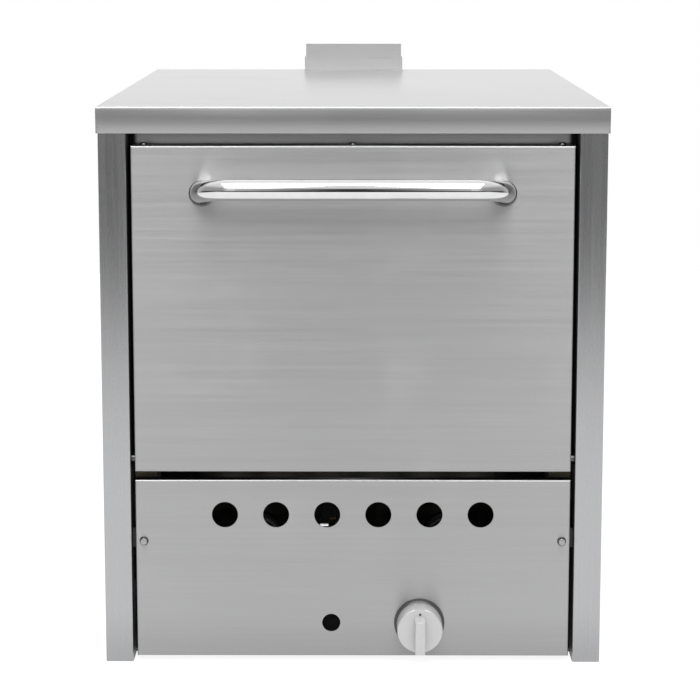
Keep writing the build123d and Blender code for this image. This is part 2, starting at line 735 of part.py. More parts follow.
def thermocouple():
    """Sensing tip beside the pilot flame and its lead to the safety valve."""
    x0, x1 = valve_span()
    start = GAS_DEPTH + VALVE_HALF_Y
    x = (x0 + x1) / 2 + 8
    z = KNOB_Z + 8
    points = [(x, start, z), (x, PILOT_DEPTH, z), (COUPLE_X, PILOT_DEPTH, z), (COUPLE_X, PILOT_DEPTH, PILOT_LOW)]
    lead = tube_along(points, 12.0, COUPLE_LEAD_R)
    return lead + rod_z(COUPLE_R, COUPLE_X, PILOT_DEPTH, PILOT_LOW, PILOT_HIGH + 4)


def bulb_z():
    """Height of the bulb, a set part of the way from the upper stone to the chamber's top."""
    stone_top = deck_levels()[1] + STONE_THICK
    return stone_top + BULB_PLACE * (CAVITY_TOP - stone_top)


def thermostat_bulb():
    """Temperature bulb on the right wall and its capillary, which runs outside the liner."""
    body_back = CONTROL_FRONT + BOSS_LENGTH + CONTROL_DEPTH
    bulb_x = CAVITY_HALF - BULB_OFF_WALL
    outside = (POST_IN + SHEET + SIDE_X) / 2 + 4
    low = KNOB_Z + 15
    bulb_start = CAPILLARY_DEPTH + 22
    points = [
        (KNOB_X, body_back, low),
        (KNOB_X, CAPILLARY_DEPTH, low),
        (outside, CAPILLARY_DEPTH, low),
        (outside, CAPILLARY_DEPTH, bulb_z()),
        (bulb_x, CAPILLARY_DEPTH, bulb_z()),
        (bulb_x, bulb_start, bulb_z()),
    ]
    line = tube_along(points, 9.0, CAPILLARY_R)
    return line + rod_y(BULB_R, bulb_x, bulb_start - 1, bulb_start + BULB_LENGTH, bulb_z())


def bulb_clips():
    """Two clips that hold the bulb to the liner wall."""
    bulb_x = CAVITY_HALF - BULB_OFF_WALL
    clips = []
    for along in (0.25, 0.75):
        middle = CAPILLARY_DEPTH + 22 + BULB_LENGTH * along
        d0 = middle - CLIP_WIDTH / 2
        d1 = middle + CLIP_WIDTH / 2
        clip = rod_y(BULB_R + CLIP_THICK, bulb_x, d0, d1, bulb_z())
        clip += block(bulb_x, CAVITY_HALF, d0, d1, bulb_z() - CLIP_THICK, bulb_z() + CLIP_THICK)
        clip += block(CAVITY_HALF - CLIP_THICK, CAVITY_HALF, d0, d1, bulb_z() - 10, bulb_z() + 10)
        clips.append(clip - rod_y(BULB_R, bulb_x, d0 - 1, d1 + 1, bulb_z()))
    return joined(clips)


# ---- Flue ----


def flue_duct():
    """Upright duct behind the chamber, open on top, with the throat's opening in its front."""
    duct = block(-FLUE_HALF, FLUE_HALF, FLUE_FRONT, FLUE_BACK, FLUE_LOW, HEIGHT + FLUE_RISE)
    duct -= block(
        -FLUE_HALF + LINER, FLUE_HALF - LINER, FLUE_FRONT + LINER, FLUE_BACK - LINER,
        FLUE_LOW + LINER, HEIGHT + FLUE_RISE + 1,
    )
    return duct - block(
        -THROAT_HALF + LINER, THROAT_HALF - LINER, FLUE_FRONT - 1, FLUE_FRONT + LINER + 1,
        THROAT_LOW + LINER, THROAT_LOW + THROAT_TALL - LINER,
    )


def flue_deflector():
    """Tall front plate that keeps draughts off the flue's mouth."""
    plate = block(
        -FLUE_HALF, FLUE_HALF, FLUE_FRONT - SHEET, FLUE_FRONT, HEIGHT - DEFLECTOR_TAIL, HEIGHT + DEFLECTOR_RISE,
    )
    return plate


def flue_collar():
    """Cheeks beside the duct, joined by a rear strip, with their top front corners cut off."""
    top = HEIGHT + FLUE_RISE
    cheeks = []
    for side in (-1, 1):
        x0, x1 = sorted((side * FLUE_HALF, side * (FLUE_HALF + CHEEK_THICK)))
        cheek = block(x0, x1, FLUE_FRONT, FLUE_BACK + SHEET, HEIGHT + SEAM, top)
        cheek += block(x0, x1, FLUE_FRONT, FLUE_BACK - SHEET, HEIGHT - CHEEK_TAIL, HEIGHT + 1)
        corner = cheek.edges().filter_by(Axis.X).sort_by(lambda e: e.center().Z - e.center().Y)[-1]
        cheeks.append(chamfer(corner, CHEEK_CHAMFER))
    strip = block(
        -FLUE_HALF - CHEEK_THICK, FLUE_HALF + CHEEK_THICK, FLUE_BACK, FLUE_BACK + SHEET, HEIGHT + SEAM, top,
    )
    return joined(cheeks) + strip


# ---- Door ----


def door_skin():
    """Outer tray of the door."""
    height = DOOR_TOP - DOOR_BOTTOM
    skin = Pos(0, FRONT, DOOR_BOTTOM + height / 2) * tray(2 * DOOR_HALF, height, DOOR_DEPTH, SHEET)
    skin -= door_screw_shanks(DOOR_SCREW_R + HOLE_GAP)
    for side in (-1, 1):
        skin -= rod_y(HANDLE_BOLT_R + HOLE_GAP, side * HANDLE_HALF, -1, SHEET + 1, HANDLE_Z)
        x0, x1 = sorted((side * (DOOR_HALF - 4), side * (DOOR_HALF + 1)))
        skin -= rod_x(PIN_R + HOLE_GAP, x0, x1, HINGE_BACK, HINGE_Z)
    return skin


def door_inner_pan():
    """Inner tray that closes the door, with a shallow plug that enters the oven's mouth."""
    height = PAN_TOP - PAN_BOTTOM
    middle = PAN_BOTTOM + height / 2
    pan = tray(2 * PAN_HALF, height, PAN_FLANGE, LINER)
    pan = Pos(0, FRONT + DOOR_DEPTH, middle) * Rot(0, 0, 180) * pan
    half = CAVITY_HALF - PLUG_GAP
    low = MOUTH_BOTTOM + PLUG_GAP
    high = MOUTH_TOP - PLUG_GAP
    pan += block(-half, half, DOOR_DEPTH - LINER, DOOR_DEPTH + PLUG_DEPTH, low, high)
    pan -= block(
        -half + LINER, half - LINER, DOOR_DEPTH - PAN_FLANGE, DOOR_DEPTH + PLUG_DEPTH - LINER,
        low + LINER, high - LINER,
    )
    pan -= door_screw_shanks(DOOR_SCREW_R + HOLE_GAP)
    for side in (-1, 1):
        x0, x1 = sorted((side * (PAN_HALF - 4), side * (PAN_HALF + 1)))
        pan -= rod_x(PIN_R + HOLE_GAP, x0, x1, HINGE_BACK, HINGE_Z)
    return pan


def door_insulation():
    half = CAVITY_HALF - PLUG_GAP - LINER - SEAM
    mat = block(
        -half, half, SHEET + SEAM, DOOR_DEPTH + PLUG_DEPTH - LINER - SEAM,
        MOUTH_BOTTOM + PLUG_GAP + LINER + SEAM, MOUTH_TOP - PLUG_GAP - LINER - SEAM,
    )
    for side in (-1, 1):
        mat -= rod_y(HANDLE_BOLT_HEAD_R + 1, side * HANDLE_HALF, SHEET, SHEET + HANDLE_BOLT_HEAD + 1, HANDLE_Z)
    return mat


def door_gasket():
    inner_half = CAVITY_HALF + GASKET_EDGE
    low = MOUTH_BOTTOM - GASKET_EDGE
    high = MOUTH_TOP + GASKET_EDGE
    d0 = DOOR_DEPTH
    d1 = DOOR_DEPTH + GASKET_THICK
    ring = block(
        -inner_half - GASKET_WIDTH, inner_half + GASKET_WIDTH, d0, d1, low - GASKET_WIDTH, high + GASKET_WIDTH,
    )
    return ring - block(-inner_half, inner_half, d0 - 1, d1 + 1, low, high)


def handle_points(extra):
    """Corners of the handle's centre line; each root starts a little inside the door's face."""
    rise = sin(radians(HANDLE_TILT)) / cos(radians(HANDLE_TILT))
    root = (extra, HANDLE_Z - extra * rise)
    front = (-HANDLE_REACH, HANDLE_Z + HANDLE_REACH * rise)
    return [
        (-HANDLE_HALF, *root),
        (-HANDLE_HALF, *front),
        (HANDLE_HALF, *front),
        (HANDLE_HALF, *root),
    ]


def door_handle():
    """Bent round tube with a plug welded into each end for the bolt."""
    reach = HANDLE_HALF + HANDLE_R + 1
    handle = tube_along(handle_points(4.0), HANDLE_BEND, HANDLE_R)
    bore = tube_along(handle_points(4.0), HANDLE_BEND, HANDLE_R - HANDLE_WALL)
    bore -= block(-reach, reach, -HANDLE_PLUG, 20, HANDLE_Z - 40, HANDLE_Z + 40)
    handle -= bore
    handle -= block(-reach, reach, 0, 20, HANDLE_Z - 40, HANDLE_Z + 40)
    for side in (-1, 1):
        handle -= rod_y(HANDLE_BOLT_R + RUN_FIT, side * HANDLE_HALF, -HANDLE_PLUG - 1, 1, HANDLE_Z)
    return handle


def handle_ferrules():
    """Ring round each root of the handle."""
    rings = []
    for side in (-1, 1):
        ring = rod_y(FERRULE_OUT_R, side * HANDLE_HALF, -FERRULE_THICK, 0, HANDLE_Z)
        ring = fillet(ring.faces().sort_by(Axis.Y)[0].edges(), 0.8)
        rings.append(ring - rod_y(FERRULE_IN_R, side * HANDLE_HALF, -FERRULE_THICK - 1, 1, HANDLE_Z))
    return joined(rings)


def handle_bolts():
    bolts = []
    for side in (-1, 1):
        shank = rod_y(HANDLE_BOLT_R, side * HANDLE_HALF, -HANDLE_PLUG + 1, SHEET + 1, HANDLE_Z)
        head = rod_y(HANDLE_BOLT_HEAD_R, side * HANDLE_HALF, SHEET, SHEET + HANDLE_BOLT_HEAD, HANDLE_Z)
        bolts.append(shank + head)
    return joined(bolts)


# ---- Hinges ----


def hinge_pivot_right():
    """Pin with the block that carries it inside the door's lower corner."""
    outer = PAN_HALF - LINER
    pivot = block(
        outer - BLOCK_WIDTH, outer, HINGE_BACK - BLOCK_HALF, HINGE_BACK + BLOCK_HALF,
        HINGE_Z - BLOCK_HALF, HINGE_Z + BLOCK_HALF,
    )
    return pivot + rod_x(PIN_R, outer - 1, ARM_X + ARM_THICK + 1, HINGE_BACK, HINGE_Z)


def hinge_arm_right():
    """Lever on the pin's outer end; it hangs down when the door is shut and pulls the spring."""
    low = HINGE_Z - ARM_LENGTH
    arm = rod_x(HUB_R, ARM_X, ARM_X + ARM_THICK, HINGE_BACK, HINGE_Z)
    arm += rod_x(ARM_HALF, ARM_X, ARM_X + ARM_THICK, HINGE_BACK, low)
    arm += block(ARM_X, ARM_X + ARM_THICK, HINGE_BACK - ARM_HALF, HINGE_BACK + ARM_HALF, low, HINGE_Z)
    arm += rod_x(HOOK_PIN_R, ARM_X, ARM_X + ARM_THICK + HOOK_PIN_LENGTH, HINGE_BACK, low)
    return arm - rod_x(PIN_R, ARM_X - 1, ARM_X + ARM_THICK + 1, HINGE_BACK, HINGE_Z)


def hinge_bracket_right():
    """Bearing plate inside the post, with the stop that the lever meets when the door is open."""
    x0 = POST_IN + SHEET
    plate = block(
        x0, x0 + BRACKET_THICK, SHEET + SEAM, POST_RETURN - 1, HINGE_Z - BRACKET_HALF, HINGE_Z + BRACKET_HALF,
    )
    stop_depth = HINGE_BACK + HUB_R + 2
    stop_low = HINGE_Z + ARM_HALF + TURN_GAP
    plate += block(
        x0, ARM_X + ARM_THICK, stop_depth, stop_depth + STOP_WIDTH, stop_low, stop_low + STOP_HEIGHT,
    )
    return plate - rod_x(PIN_R + RUN_FIT, x0 - 1, x0 + BRACKET_THICK + 1, HINGE_BACK, HINGE_Z)


def door_spring(x):
    """Extension spring between the lever's pin and the stud low in the post."""
    low = SPRING_ANCHOR_Z
    high = HINGE_Z - ARM_LENGTH
    coil_low = low + SPRING_END
    coil_high = high - SPRING_END
    spring = rod_z(SPRING_R, x, HINGE_BACK, coil_low, coil_high)
    spring -= rod_z(SPRING_R - 2 * SPRING_WIRE_R, x, HINGE_BACK, coil_low + 2, coil_high - 2)
    for z, sense in ((low, 1), (high, -1)):
        loop = Pos(x, FRONT + HINGE_BACK, z) * Rot(0, 90, 0) * Torus(SPRING_LOOP_R, SPRING_WIRE_R)
        ends = sorted((z + sense * SPRING_LOOP_R, z + sense * (SPRING_END + 1)))
        spring += loop + rod_z(SPRING_WIRE_R, x, HINGE_BACK, *ends)
    return spring


# ---- Fasteners ----


def pan_screw(radius, head_radius, head, length):
    """Pan-head screw along +Y from its seat at y = 0, head towards -Y."""
    cap = Rot(90, 0, 0) * Cylinder(head_radius, head, align=(MID, MID, LOW))
    cap = fillet(cap.faces().sort_by(Axis.Y)[0].edges(), head * 0.4)
    return cap + Rot(-90, 0, 0) * Cylinder(radius, length, align=(MID, MID, LOW))


def back_screw_places():
    x = SIDE_X - BACK_SCREW_INSET
    step = (BODY_TOP - 2 * BACK_SCREW_LOW) / (BACK_SCREW_ROWS - 1)
    return [(side * x, BACK_SCREW_LOW + i * step) for side in (-1, 1) for i in range(BACK_SCREW_ROWS)]


def lid_screw_places():
    return [(side * LID_SCREW_X, HEIGHT - LID_FLANGE / 2) for side in (-1, 1)]


def back_screw_shanks(radius):
    rear = BODY_DEPTH + SHEET
    return joined(rod_y(radius, x, rear - SCREW_LENGTH, rear + 1, z) for x, z in back_screw_places())


def lid_screw_shanks(radius):
    rear = LID_DEPTH - LAP
    return joined(rod_y(radius, x, rear - SCREW_LENGTH, rear + 1, z) for x, z in lid_screw_places())


def cabinet_screws():
    """Screws that hold the back panel to the side panels and the lid to the back panel."""
    screw = Rot(0, 0, 180) * pan_screw(SCREW_R, SCREW_HEAD_R, SCREW_HEAD, SCREW_LENGTH)
    placed = [Pos(x, FRONT + BODY_DEPTH + SHEET, z) * screw for x, z in back_screw_places()]
    placed += [Pos(x, FRONT + LID_DEPTH - LAP, z) * screw for x, z in lid_screw_places()]
    return joined(placed)


def door_top_screw_places():
    x = DOOR_HALF - DOOR_SCREW_INSET
    return (-x, 0.0, x)


def door_low_screw_places():
    return (-DOOR_HALF + LOW_SCREW_LEFT_INSET, DOOR_HALF - LOW_SCREW_RIGHT_INSET)


def door_screw_shanks(radius):
    down = [
        rod_z(radius, x, DOOR_SCREW_DEPTH, DOOR_TOP - DOOR_SCREW_LENGTH, DOOR_TOP + 1)
        for x in door_top_screw_places()
    ]
    up = [
        rod_z(radius, x, DOOR_SCREW_DEPTH, DOOR_BOTTOM - 1, DOOR_BOTTOM + DOOR_SCREW_LENGTH)
        for x in door_low_screw_places()
    ]
    return joined(down + up)


def door_screws():
    """Screws down through the door's top edge and up through its bottom edge."""
    screw = pan_screw(DOOR_SCREW_R, DOOR_SCREW_HEAD_R, DOOR_SCREW_HEAD, DOOR_SCREW_LENGTH)
    depth = FRONT + DOOR_SCREW_DEPTH
    placed = [Pos(x, depth, DOOR_TOP) * Rot(-90, 0, 0) * screw for x in door_top_screw_places()]
    placed += [Pos(x, depth, DOOR_BOTTOM) * Rot(90, 0, 0) * screw for x in door_low_screw_places()]
    return joined(placed)


def panel_screws():
    """Hex washer-head screws, one at each side of the lower front panel."""
    washer = Rot(90, 0, 0) * Cylinder(WASHER_R, WASHER_THICK, align=(MID, MID, LOW))
    hexagon = Rot(90, 0, 0) * extrude(RegularPolygon(HEX_R, 6), WASHER_THICK + HEX_THICK)
    shank = Rot(-90, 0, 0) * Cylinder(PANEL_SCREW_R, PANEL_SCREW_LENGTH, align=(MID, MID, LOW))
    screw = washer + hexagon + shank
    return joined(Pos(side * PANEL_SCREW_X, FRONT, PANEL_SCREW_Z) * screw for side in (-1, 1))


NODES = {
    "lid": lid(),
    "side_panel_right": side_panel_right(),
    "side_panel_left": mirrored(side_panel_right()),
    "back_panel": back_panel(),
    "base_pan": base_pan(),
    "lower_front_panel": lower_front_panel(),
    "panel_screws": panel_screws(),
    "cabinet_screws": cabinet_screws(),
    "oven_front_frame": oven_front_frame(),
    "liner_left": liner_left(),
    "liner_right": liner_right(),
    "liner_top": liner_top(),
    "liner_back": liner_back(),
    "oven_floor": oven_floor(),
    "insulation_left": insulation_left(),
    "insulation_right": insulation_right(),
    "insulation_top": insulation_top(),
    "insulation_back": insulation_back(),
    "hearth_stone_lower": hearth_stone(deck_levels()[0]),
    "hearth_stone_upper": hearth_stone(deck_levels()[1]),
    "deck_rail_right": deck_rail_right(),
    "deck_rail_left": mirrored(deck_rail_right()),
    "deck_fronts": deck_fronts(),
    "fire_wall": fire_wall(),
    "burner_left": burner(-BURNER_X),
    "burner_right": burner(BURNER_X),
    "air_shutter_left": air_shutter(-BURNER_X),
    "air_shutter_right": air_shutter(BURNER_X),
    "burner_support": burner_support(),
    "burner_orifices": burner_orifices(),
    "gas_manifold": gas_manifold(),
    "gas_inlet_pipe": gas_inlet_pipe(),
    "gas_elbow": gas_elbow(),
    "safety_valve": safety_valve(),
    "reset_button": reset_button(),
    "thermostat_body": thermostat_body(),
    "thermostat_stem": thermostat_stem(),
    "knob_bezel": knob_bezel(),
    "control_knob": control_knob(),
    "pilot_burner": pilot_burner(),
    "pilot_tube": pilot_tube(),
    "thermocouple": thermocouple(),
    "thermostat_bulb": thermostat_bulb(),
    "bulb_clips": bulb_clips(),
    "flue_duct": flue_duct(),
    "flue_deflector": flue_deflector(),
    "flue_collar": flue_collar(),
    "door_skin": door_skin(),
    "door_inner_pan": door_inner_pan(),
    "door_insulation": door_insulation(),
    "door_gasket": door_gasket(),
    "door_screws": door_screws(),
    "door_handle": door_handle(),
    "handle_ferrules": handle_ferrules(),
    "handle_bolts": handle_bolts(),
    "hinge_pivots": joined([hinge_pivot_right(), mirrored(hinge_pivot_right())]),
    "hinge_arms": joined([hinge_arm_right(), mirrored(hinge_arm_right())]),
    "hinge_brackets": joined([hinge_bracket_right(), mirrored(hinge_bracket_right())]),
    "door_springs": joined([door_spring(-SPRING_X), door_spring(SPRING_X)]),
}

os.makedirs("parts", exist_ok=True)
for node, shape in NODES.items():
    export_step(shape, f"parts/{node}.step")
print(f"{len(NODES)} nodes; front plane at y = {FRONT:.2f}; hinge at z = {HINGE_Z:.2f}")
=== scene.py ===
import json
from math import cos, pi, radians

import bmesh
import bpy
from mathutils import Matrix, Vector


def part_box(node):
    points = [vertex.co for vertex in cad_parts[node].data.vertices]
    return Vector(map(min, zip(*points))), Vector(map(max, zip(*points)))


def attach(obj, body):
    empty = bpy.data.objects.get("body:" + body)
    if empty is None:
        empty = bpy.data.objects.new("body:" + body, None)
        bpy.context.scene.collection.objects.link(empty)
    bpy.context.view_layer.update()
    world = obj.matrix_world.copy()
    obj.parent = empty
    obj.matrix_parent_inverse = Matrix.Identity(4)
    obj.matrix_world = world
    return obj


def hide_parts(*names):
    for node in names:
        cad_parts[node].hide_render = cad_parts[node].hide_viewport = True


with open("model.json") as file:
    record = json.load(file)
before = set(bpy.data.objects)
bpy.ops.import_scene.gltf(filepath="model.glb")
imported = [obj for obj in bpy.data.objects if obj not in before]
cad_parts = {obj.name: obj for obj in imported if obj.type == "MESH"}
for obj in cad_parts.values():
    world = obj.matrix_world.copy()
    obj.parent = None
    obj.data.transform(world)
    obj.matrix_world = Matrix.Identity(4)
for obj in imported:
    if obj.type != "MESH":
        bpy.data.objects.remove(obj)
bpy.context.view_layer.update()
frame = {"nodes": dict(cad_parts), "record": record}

# Countertop gas deck oven. Metres, +Z up, front towards -Y, standing on z = 0.
MM = 0.001


# ---- Shader maths ----


class Shade:
    """A socket whose sums, differences and products add Math nodes."""

    def __init__(self, nodes, socket):
        self.nodes = nodes
        self.socket = socket

    def maths(self, operation, first, second=0.0):
        return self.nodes.node(
            "ShaderNodeMath", {"operation": operation}, {"Value": first, "Value_001": second},
        )

    def size(self):
        return self.maths("ABSOLUTE", self)

    def highest(self, other):
        return self.maths("MAXIMUM", self, other)

    def __add__(self, other):
        return self.maths("ADD", self, other)

    def __sub__(self, other):
        return self.maths("SUBTRACT", self, other)

    def __rsub__(self, other):
        return self.maths("SUBTRACT", other, self)

    def __mul__(self, other):
        return self.maths("MULTIPLY", self, other)

    __radd__ = __add__
    __rmul__ = __mul__

    def step(self, low, high):
        """0 below low, 1 above high, smooth between them."""
        return self.nodes.node(
            "ShaderNodeMapRange", {"interpolation_type": "SMOOTHSTEP"},
            {"Value": self, "From Min": low, "From Max": high, "To Min": 0.0, "To Max": 1.0},
        )


class Nodes:
    """A node tree and the one method that adds to it."""

    def __init__(self, tree):
        self.tree = tree
        tree.nodes.clear()

    def node(self, kind, settings=None, sockets=None, output=0):
        added = self.tree.nodes.new(kind)
        for name, value in (settings or {}).items():
            setattr(added, name, value)
        places = {}
        for socket in added.inputs:
            places.setdefault(socket.name, socket)
        for socket in added.inputs:
            places[socket.identifier] = socket
        for name, value in (sockets or {}).items():
            self.feed(places[name], value)
        return Shade(self, added.outputs[output])

    def feed(self, socket, value):
        if isinstance(value, Shade):
            self.tree.links.new(value.socket, socket)
        elif socket.type == "RGBA" and len(value) == 3:
            socket.default_value = (*value, 1.0)
        else:
            socket.default_value = value

    def parts(self, vector):
        """The x, y and z of a vector."""
        return [self.node("ShaderNodeSeparateXYZ", None, {"Vector": vector}, i) for i in range(3)]

    def mix(self, factor, first, second):
        """A colour between two colours."""
        return self.node(
            "ShaderNodeMix", {"data_type": "RGBA"},
            {"Factor_Float": factor, "A_Color": first, "B_Color": second}, 2,
        )


class Finish(Nodes):
    """A procedural finish on one Principled shader; constants are set on its sockets."""

    def __init__(self, name, constants=None):
        self.material = bpy.data.materials.new(name)
        self.material.use_nodes = True
        super().__init__(self.material.node_tree)
        output = self.tree.nodes.new("ShaderNodeOutputMaterial")
        self.shader = self.tree.nodes.new("ShaderNodeBsdfPrincipled")
        self.tree.links.new(self.shader.outputs[0], output.inputs["Surface"])
        for socket, value in (constants or {}).items():
            self.feed(self.shader.inputs[socket], value)
        self.place = self.node("ShaderNodeTexCoord", None, None, 3)

    def stretched(self, scale, shift=(0.0, 0.0, 0.0)):
        return self.node(
            "ShaderNodeMapping", None, {"Vector": self.place, "Location": shift, "Scale": scale},
        )

    def noise(self, scale, detail=2.0, roughness=0.5, shift=(0.0, 0.0, 0.0)):
        """Noise around 0.5, with its own scale along each axis."""
        spots = self.stretched(scale, shift=shift)
        return self.node(
            "ShaderNodeTexNoise", None,
            {"Vector": spots, "Scale": 1.0, "Detail": detail, "Roughness": roughness},
        )

    def cells(self, scale, output=0):
        """Voronoi cells: the distance to each centre, or output 1, a colour for each cell."""
        return self.node(
            "ShaderNodeTexVoronoi", None, {"Vector": self.stretched(scale), "Scale": 1.0}, output,
        )

    def bump(self, height, strength, distance):
        normal = self.node(
            "ShaderNodeBump", None, {"Height": height, "Strength": strength, "Distance": distance}
        )
        self.feed(self.shader.inputs["Normal"], normal)

    def set(self, socket, value):
        self.feed(self.shader.inputs[socket], value)


# ---- Finishes ----


NO_TURN = 0.0
QUARTER_TURN = 0.25
SHADE_HALF = 0.294


def brushed_steel(name, along, light, dark, rough, anisotropic, turned, seams=True):
    """Sheet with brushing along X or Z: fine lines, wider streaks and faint handling marks.

    With seams, the returned edges that face each other across the gaps are painted dark grey for the shade in
    the gaps and made a little rougher, and the bottom 75 mm gets painted shade; without seams, the front
    flange just below the top gets painted shade."""
    finish = Finish(name, {
        "Metallic": 1.0, "Anisotropic": anisotropic, "Anisotropic Rotation": turned,
    })
    fine = (9.0, 1400.0, 1400.0) if along == "X" else (1400.0, 1400.0, 9.0)
    wide = (1.6, 210.0, 210.0) if along == "X" else (210.0, 210.0, 1.6)
    lines = finish.noise(fine, detail=3.0, roughness=0.6)
    streaks = finish.noise(wide, detail=3.0, roughness=0.55)
    marks = finish.noise((7.0, 7.0, 7.0), detail=4.0, roughness=0.6, shift=(3.1, 0.4, 1.7))
    smudge = marks.step(0.52, 0.72)
    tone = lines * 0.5 + streaks * 0.35 + marks * 0.15
    x, y, z = finish.parts(finish.place)
    behind_face = y - front_y
    clean = finish.mix(tone, dark, light)
    grain = rough + (lines - 0.5) * 0.10 + (streaks - 0.5) * 0.08 + smudge * 0.035
    if seams:
        inner = 1.0 - x.size().step(SHADE_HALF, SHADE_HALF + 2 * MM)
        # painted shade: returned edges 1.5-7 mm behind the face, inside the outer sides, are coloured dark
        # grey for the shade in the gaps
        painted_gap_shade = behind_face.step(1.5 * MM, 7.0 * MM) * inner
        # painted shade: the bottom 75 mm is darkened towards grey, standing in for the darker floor it faces;
        # roughness is not changed here
        painted_low_shade = (1.0 - z.step(0.0, 0.075)) * 0.30
        low_shaded = finish.mix(painted_low_shade, clean, (0.18, 0.18, 0.185))
        finish.set("Base Color", finish.mix(painted_gap_shade, low_shaded, (0.085, 0.085, 0.086)))
        finish.set("Roughness", grain + painted_gap_shade * 0.2)
    else:
        # painted shade: the front flange, below the top and within 4 mm of the face, is darkened towards
        # black
        below_top = 1.0 - z.step(lid_top - 6 * MM, lid_top - 1 * MM)
        painted_flange_shade = below_top * (1.0 - behind_face.step(0.0, 4 * MM))
        finish.set("Base Color", finish.mix(painted_flange_shade * 0.22, clean, (0.02, 0.02, 0.02)))
        finish.set("Roughness", grain)
    finish.bump(lines + streaks * 0.4, 0.05, 0.0004)
    return finish.material


def dull_steel():
    """Plain sheet behind the door, a little browned by heat towards the mouth, and painted near black at its
    sides and low down for the shade in the gaps.
    """
    finish = Finish("oven_face_steel", {"Metallic": 1.0, "Anisotropic": 0.4})
    lines = finish.noise((14.0, 700.0, 900.0), detail=3.0)
    clouds = finish.noise((9.0, 9.0, 9.0), detail=4.0, roughness=0.6)
    x, _, height = finish.parts(finish.place)
    heat = (1.0 - height.step(0.600, 0.640)) * clouds.step(0.25, 0.75)
    steel = finish.mix(lines, (0.50, 0.50, 0.51), (0.64, 0.64, 0.65))
    browned = finish.mix(heat * 0.45, steel, (0.34, 0.25, 0.16))
    # painted shade: near black at the sides and below the door's level, where the frame is seen in shade
    # through the gaps
    painted_gap_shade = x.size().step(0.258, 0.264).highest(1.0 - height.step(0.245, 0.262))
    finish.set("Base Color", finish.mix(painted_gap_shade, browned, (0.02, 0.02, 0.02)))
    finish.set("Roughness", 0.34 + (clouds - 0.5) * 0.2)
    finish.bump(lines, 0.05, 0.0004)
    return finish.material


def aluminised_sheet():
    """Matt lining sheet with a faint mottle, small pits and heat bloom."""
    finish = Finish("aluminised_lining", {"Metallic": 1.0})
    mottle = finish.cells((70.0, 70.0, 70.0), output=0)
    clouds = finish.noise((6.0, 6.0, 6.0), detail=4.0, roughness=0.6)
    pits = finish.noise((420.0, 420.0, 420.0), detail=2.0)
    base = finish.mix(clouds, (0.30, 0.30, 0.30), (0.46, 0.455, 0.45))
    bloom = clouds.step(0.50, 0.72) * 0.35
    finish.set("Base Color", finish.mix(bloom, base, (0.36, 0.28, 0.20)))
    finish.set("Roughness", 0.46 + (mottle - 0.4) * 0.12 + (pits - 0.5) * 0.08)
    finish.bump(pits + mottle * 0.5, 0.12, 0.0005)
    return finish.material


def galvanised_sheet(name, dark, light):
    """Zinc spangle: flat crystals that each take the light a little differently."""
    finish = Finish(name, {"Metallic": 1.0})
    crystal = finish.node(
        "ShaderNodeSeparateColor", None,
        {"Color": finish.cells((95.0, 95.0, 95.0), output=1)},
    )
    feather = finish.noise((260.0, 40.0, 260.0), detail=3.0)
    dust = finish.noise((8.0, 8.0, 8.0), detail=3.0)
    tone = crystal * 0.7 + feather * 0.3
    finish.set("Base Color", finish.mix(tone, dark, light))
    finish.set("Roughness", 0.30 + crystal * 0.16 + (dust - 0.5) * 0.15)
    finish.bump(crystal * 0.4 + feather * 0.2, 0.08, 0.0004)
    return finish.material


def bright_fixing(name, dark, light):
    """Plated screw metal with turning marks and dulled spots."""
    finish = Finish(name, {"Metallic": 1.0})
    rings = finish.noise((900.0, 900.0, 900.0), detail=2.0)
    spots = finish.noise((160.0, 160.0, 160.0), detail=3.0)
    finish.set("Base Color", finish.mix(spots, dark, light))
    finish.set("Roughness", 0.24 + rings * 0.10 + spots.step(0.5, 0.8) * 0.15)
    finish.bump(rings, 0.08, 0.0002)
    return finish.material


def mineral_wool():
    """Pressed wool board: long crossed fibres and lumps, painted near black low down for the shade seen
    through the gap under the door.
    """
    finish = Finish("mineral_wool", {"Roughness": 0.95, "Sheen Weight": 0.25})
    fibres = finish.noise((90.0, 1300.0, 600.0), detail=5.0, roughness=0.7)
    crossed = finish.noise((1200.0, 110.0, 900.0), detail=4.0, roughness=0.7)
    lumps = finish.noise((38.0, 38.0, 38.0), detail=4.0)
    tone = fibres * 0.4 + crossed * 0.3 + lumps * 0.3
    wool = finish.mix(tone.step(0.25, 0.75), (0.42, 0.36, 0.20), (0.80, 0.74, 0.55))
    # painted shade: near black below about 0.20-0.26 m, where the wool is seen in shade through the gap
    painted_gap_shade = 1.0 - finish.parts(finish.place)[2].step(0.20, 0.26)
    finish.set("Base Color", finish.mix(painted_gap_shade, wool, (0.03, 0.028, 0.024)))
    finish.bump(fibres + crossed + lumps, 0.8, 0.002)
    return finish.material


def hearth_stone():
    """Fired cordierite: sandy grain, pores, dark specks and browned baking marks."""
    finish = Finish("fired_cordierite", {"IOR": 1.45})
    grain = finish.noise((900.0, 900.0, 900.0), detail=3.0)
    pores = finish.cells((420.0, 420.0, 420.0)).step(0.05, 0.28)
    specks = finish.noise((260.0, 260.0, 260.0), detail=2.0).step(0.64, 0.70)
    baked = finish.noise((7.0, 7.0, 7.0), detail=5.0, roughness=0.6).step(0.48, 0.72)
    flour = finish.noise((26.0, 26.0, 26.0), detail=4.0, roughness=0.65).step(0.55, 0.75)
    sand = finish.mix(grain, (0.50, 0.41, 0.30), (0.74, 0.67, 0.55))
    toasted = finish.mix(baked * 0.55, sand, (0.30, 0.20, 0.12))
    dusted = finish.mix(flour * 0.3, toasted, (0.84, 0.80, 0.72))
    finish.set("Base Color", finish.mix(specks * 0.6, dusted, (0.16, 0.12, 0.09)))
    finish.set("Roughness", 0.82 + (grain - 0.5) * 0.2)
    finish.bump(grain * 0.5 + pores, 0.45, 0.0007)
    return finish.material


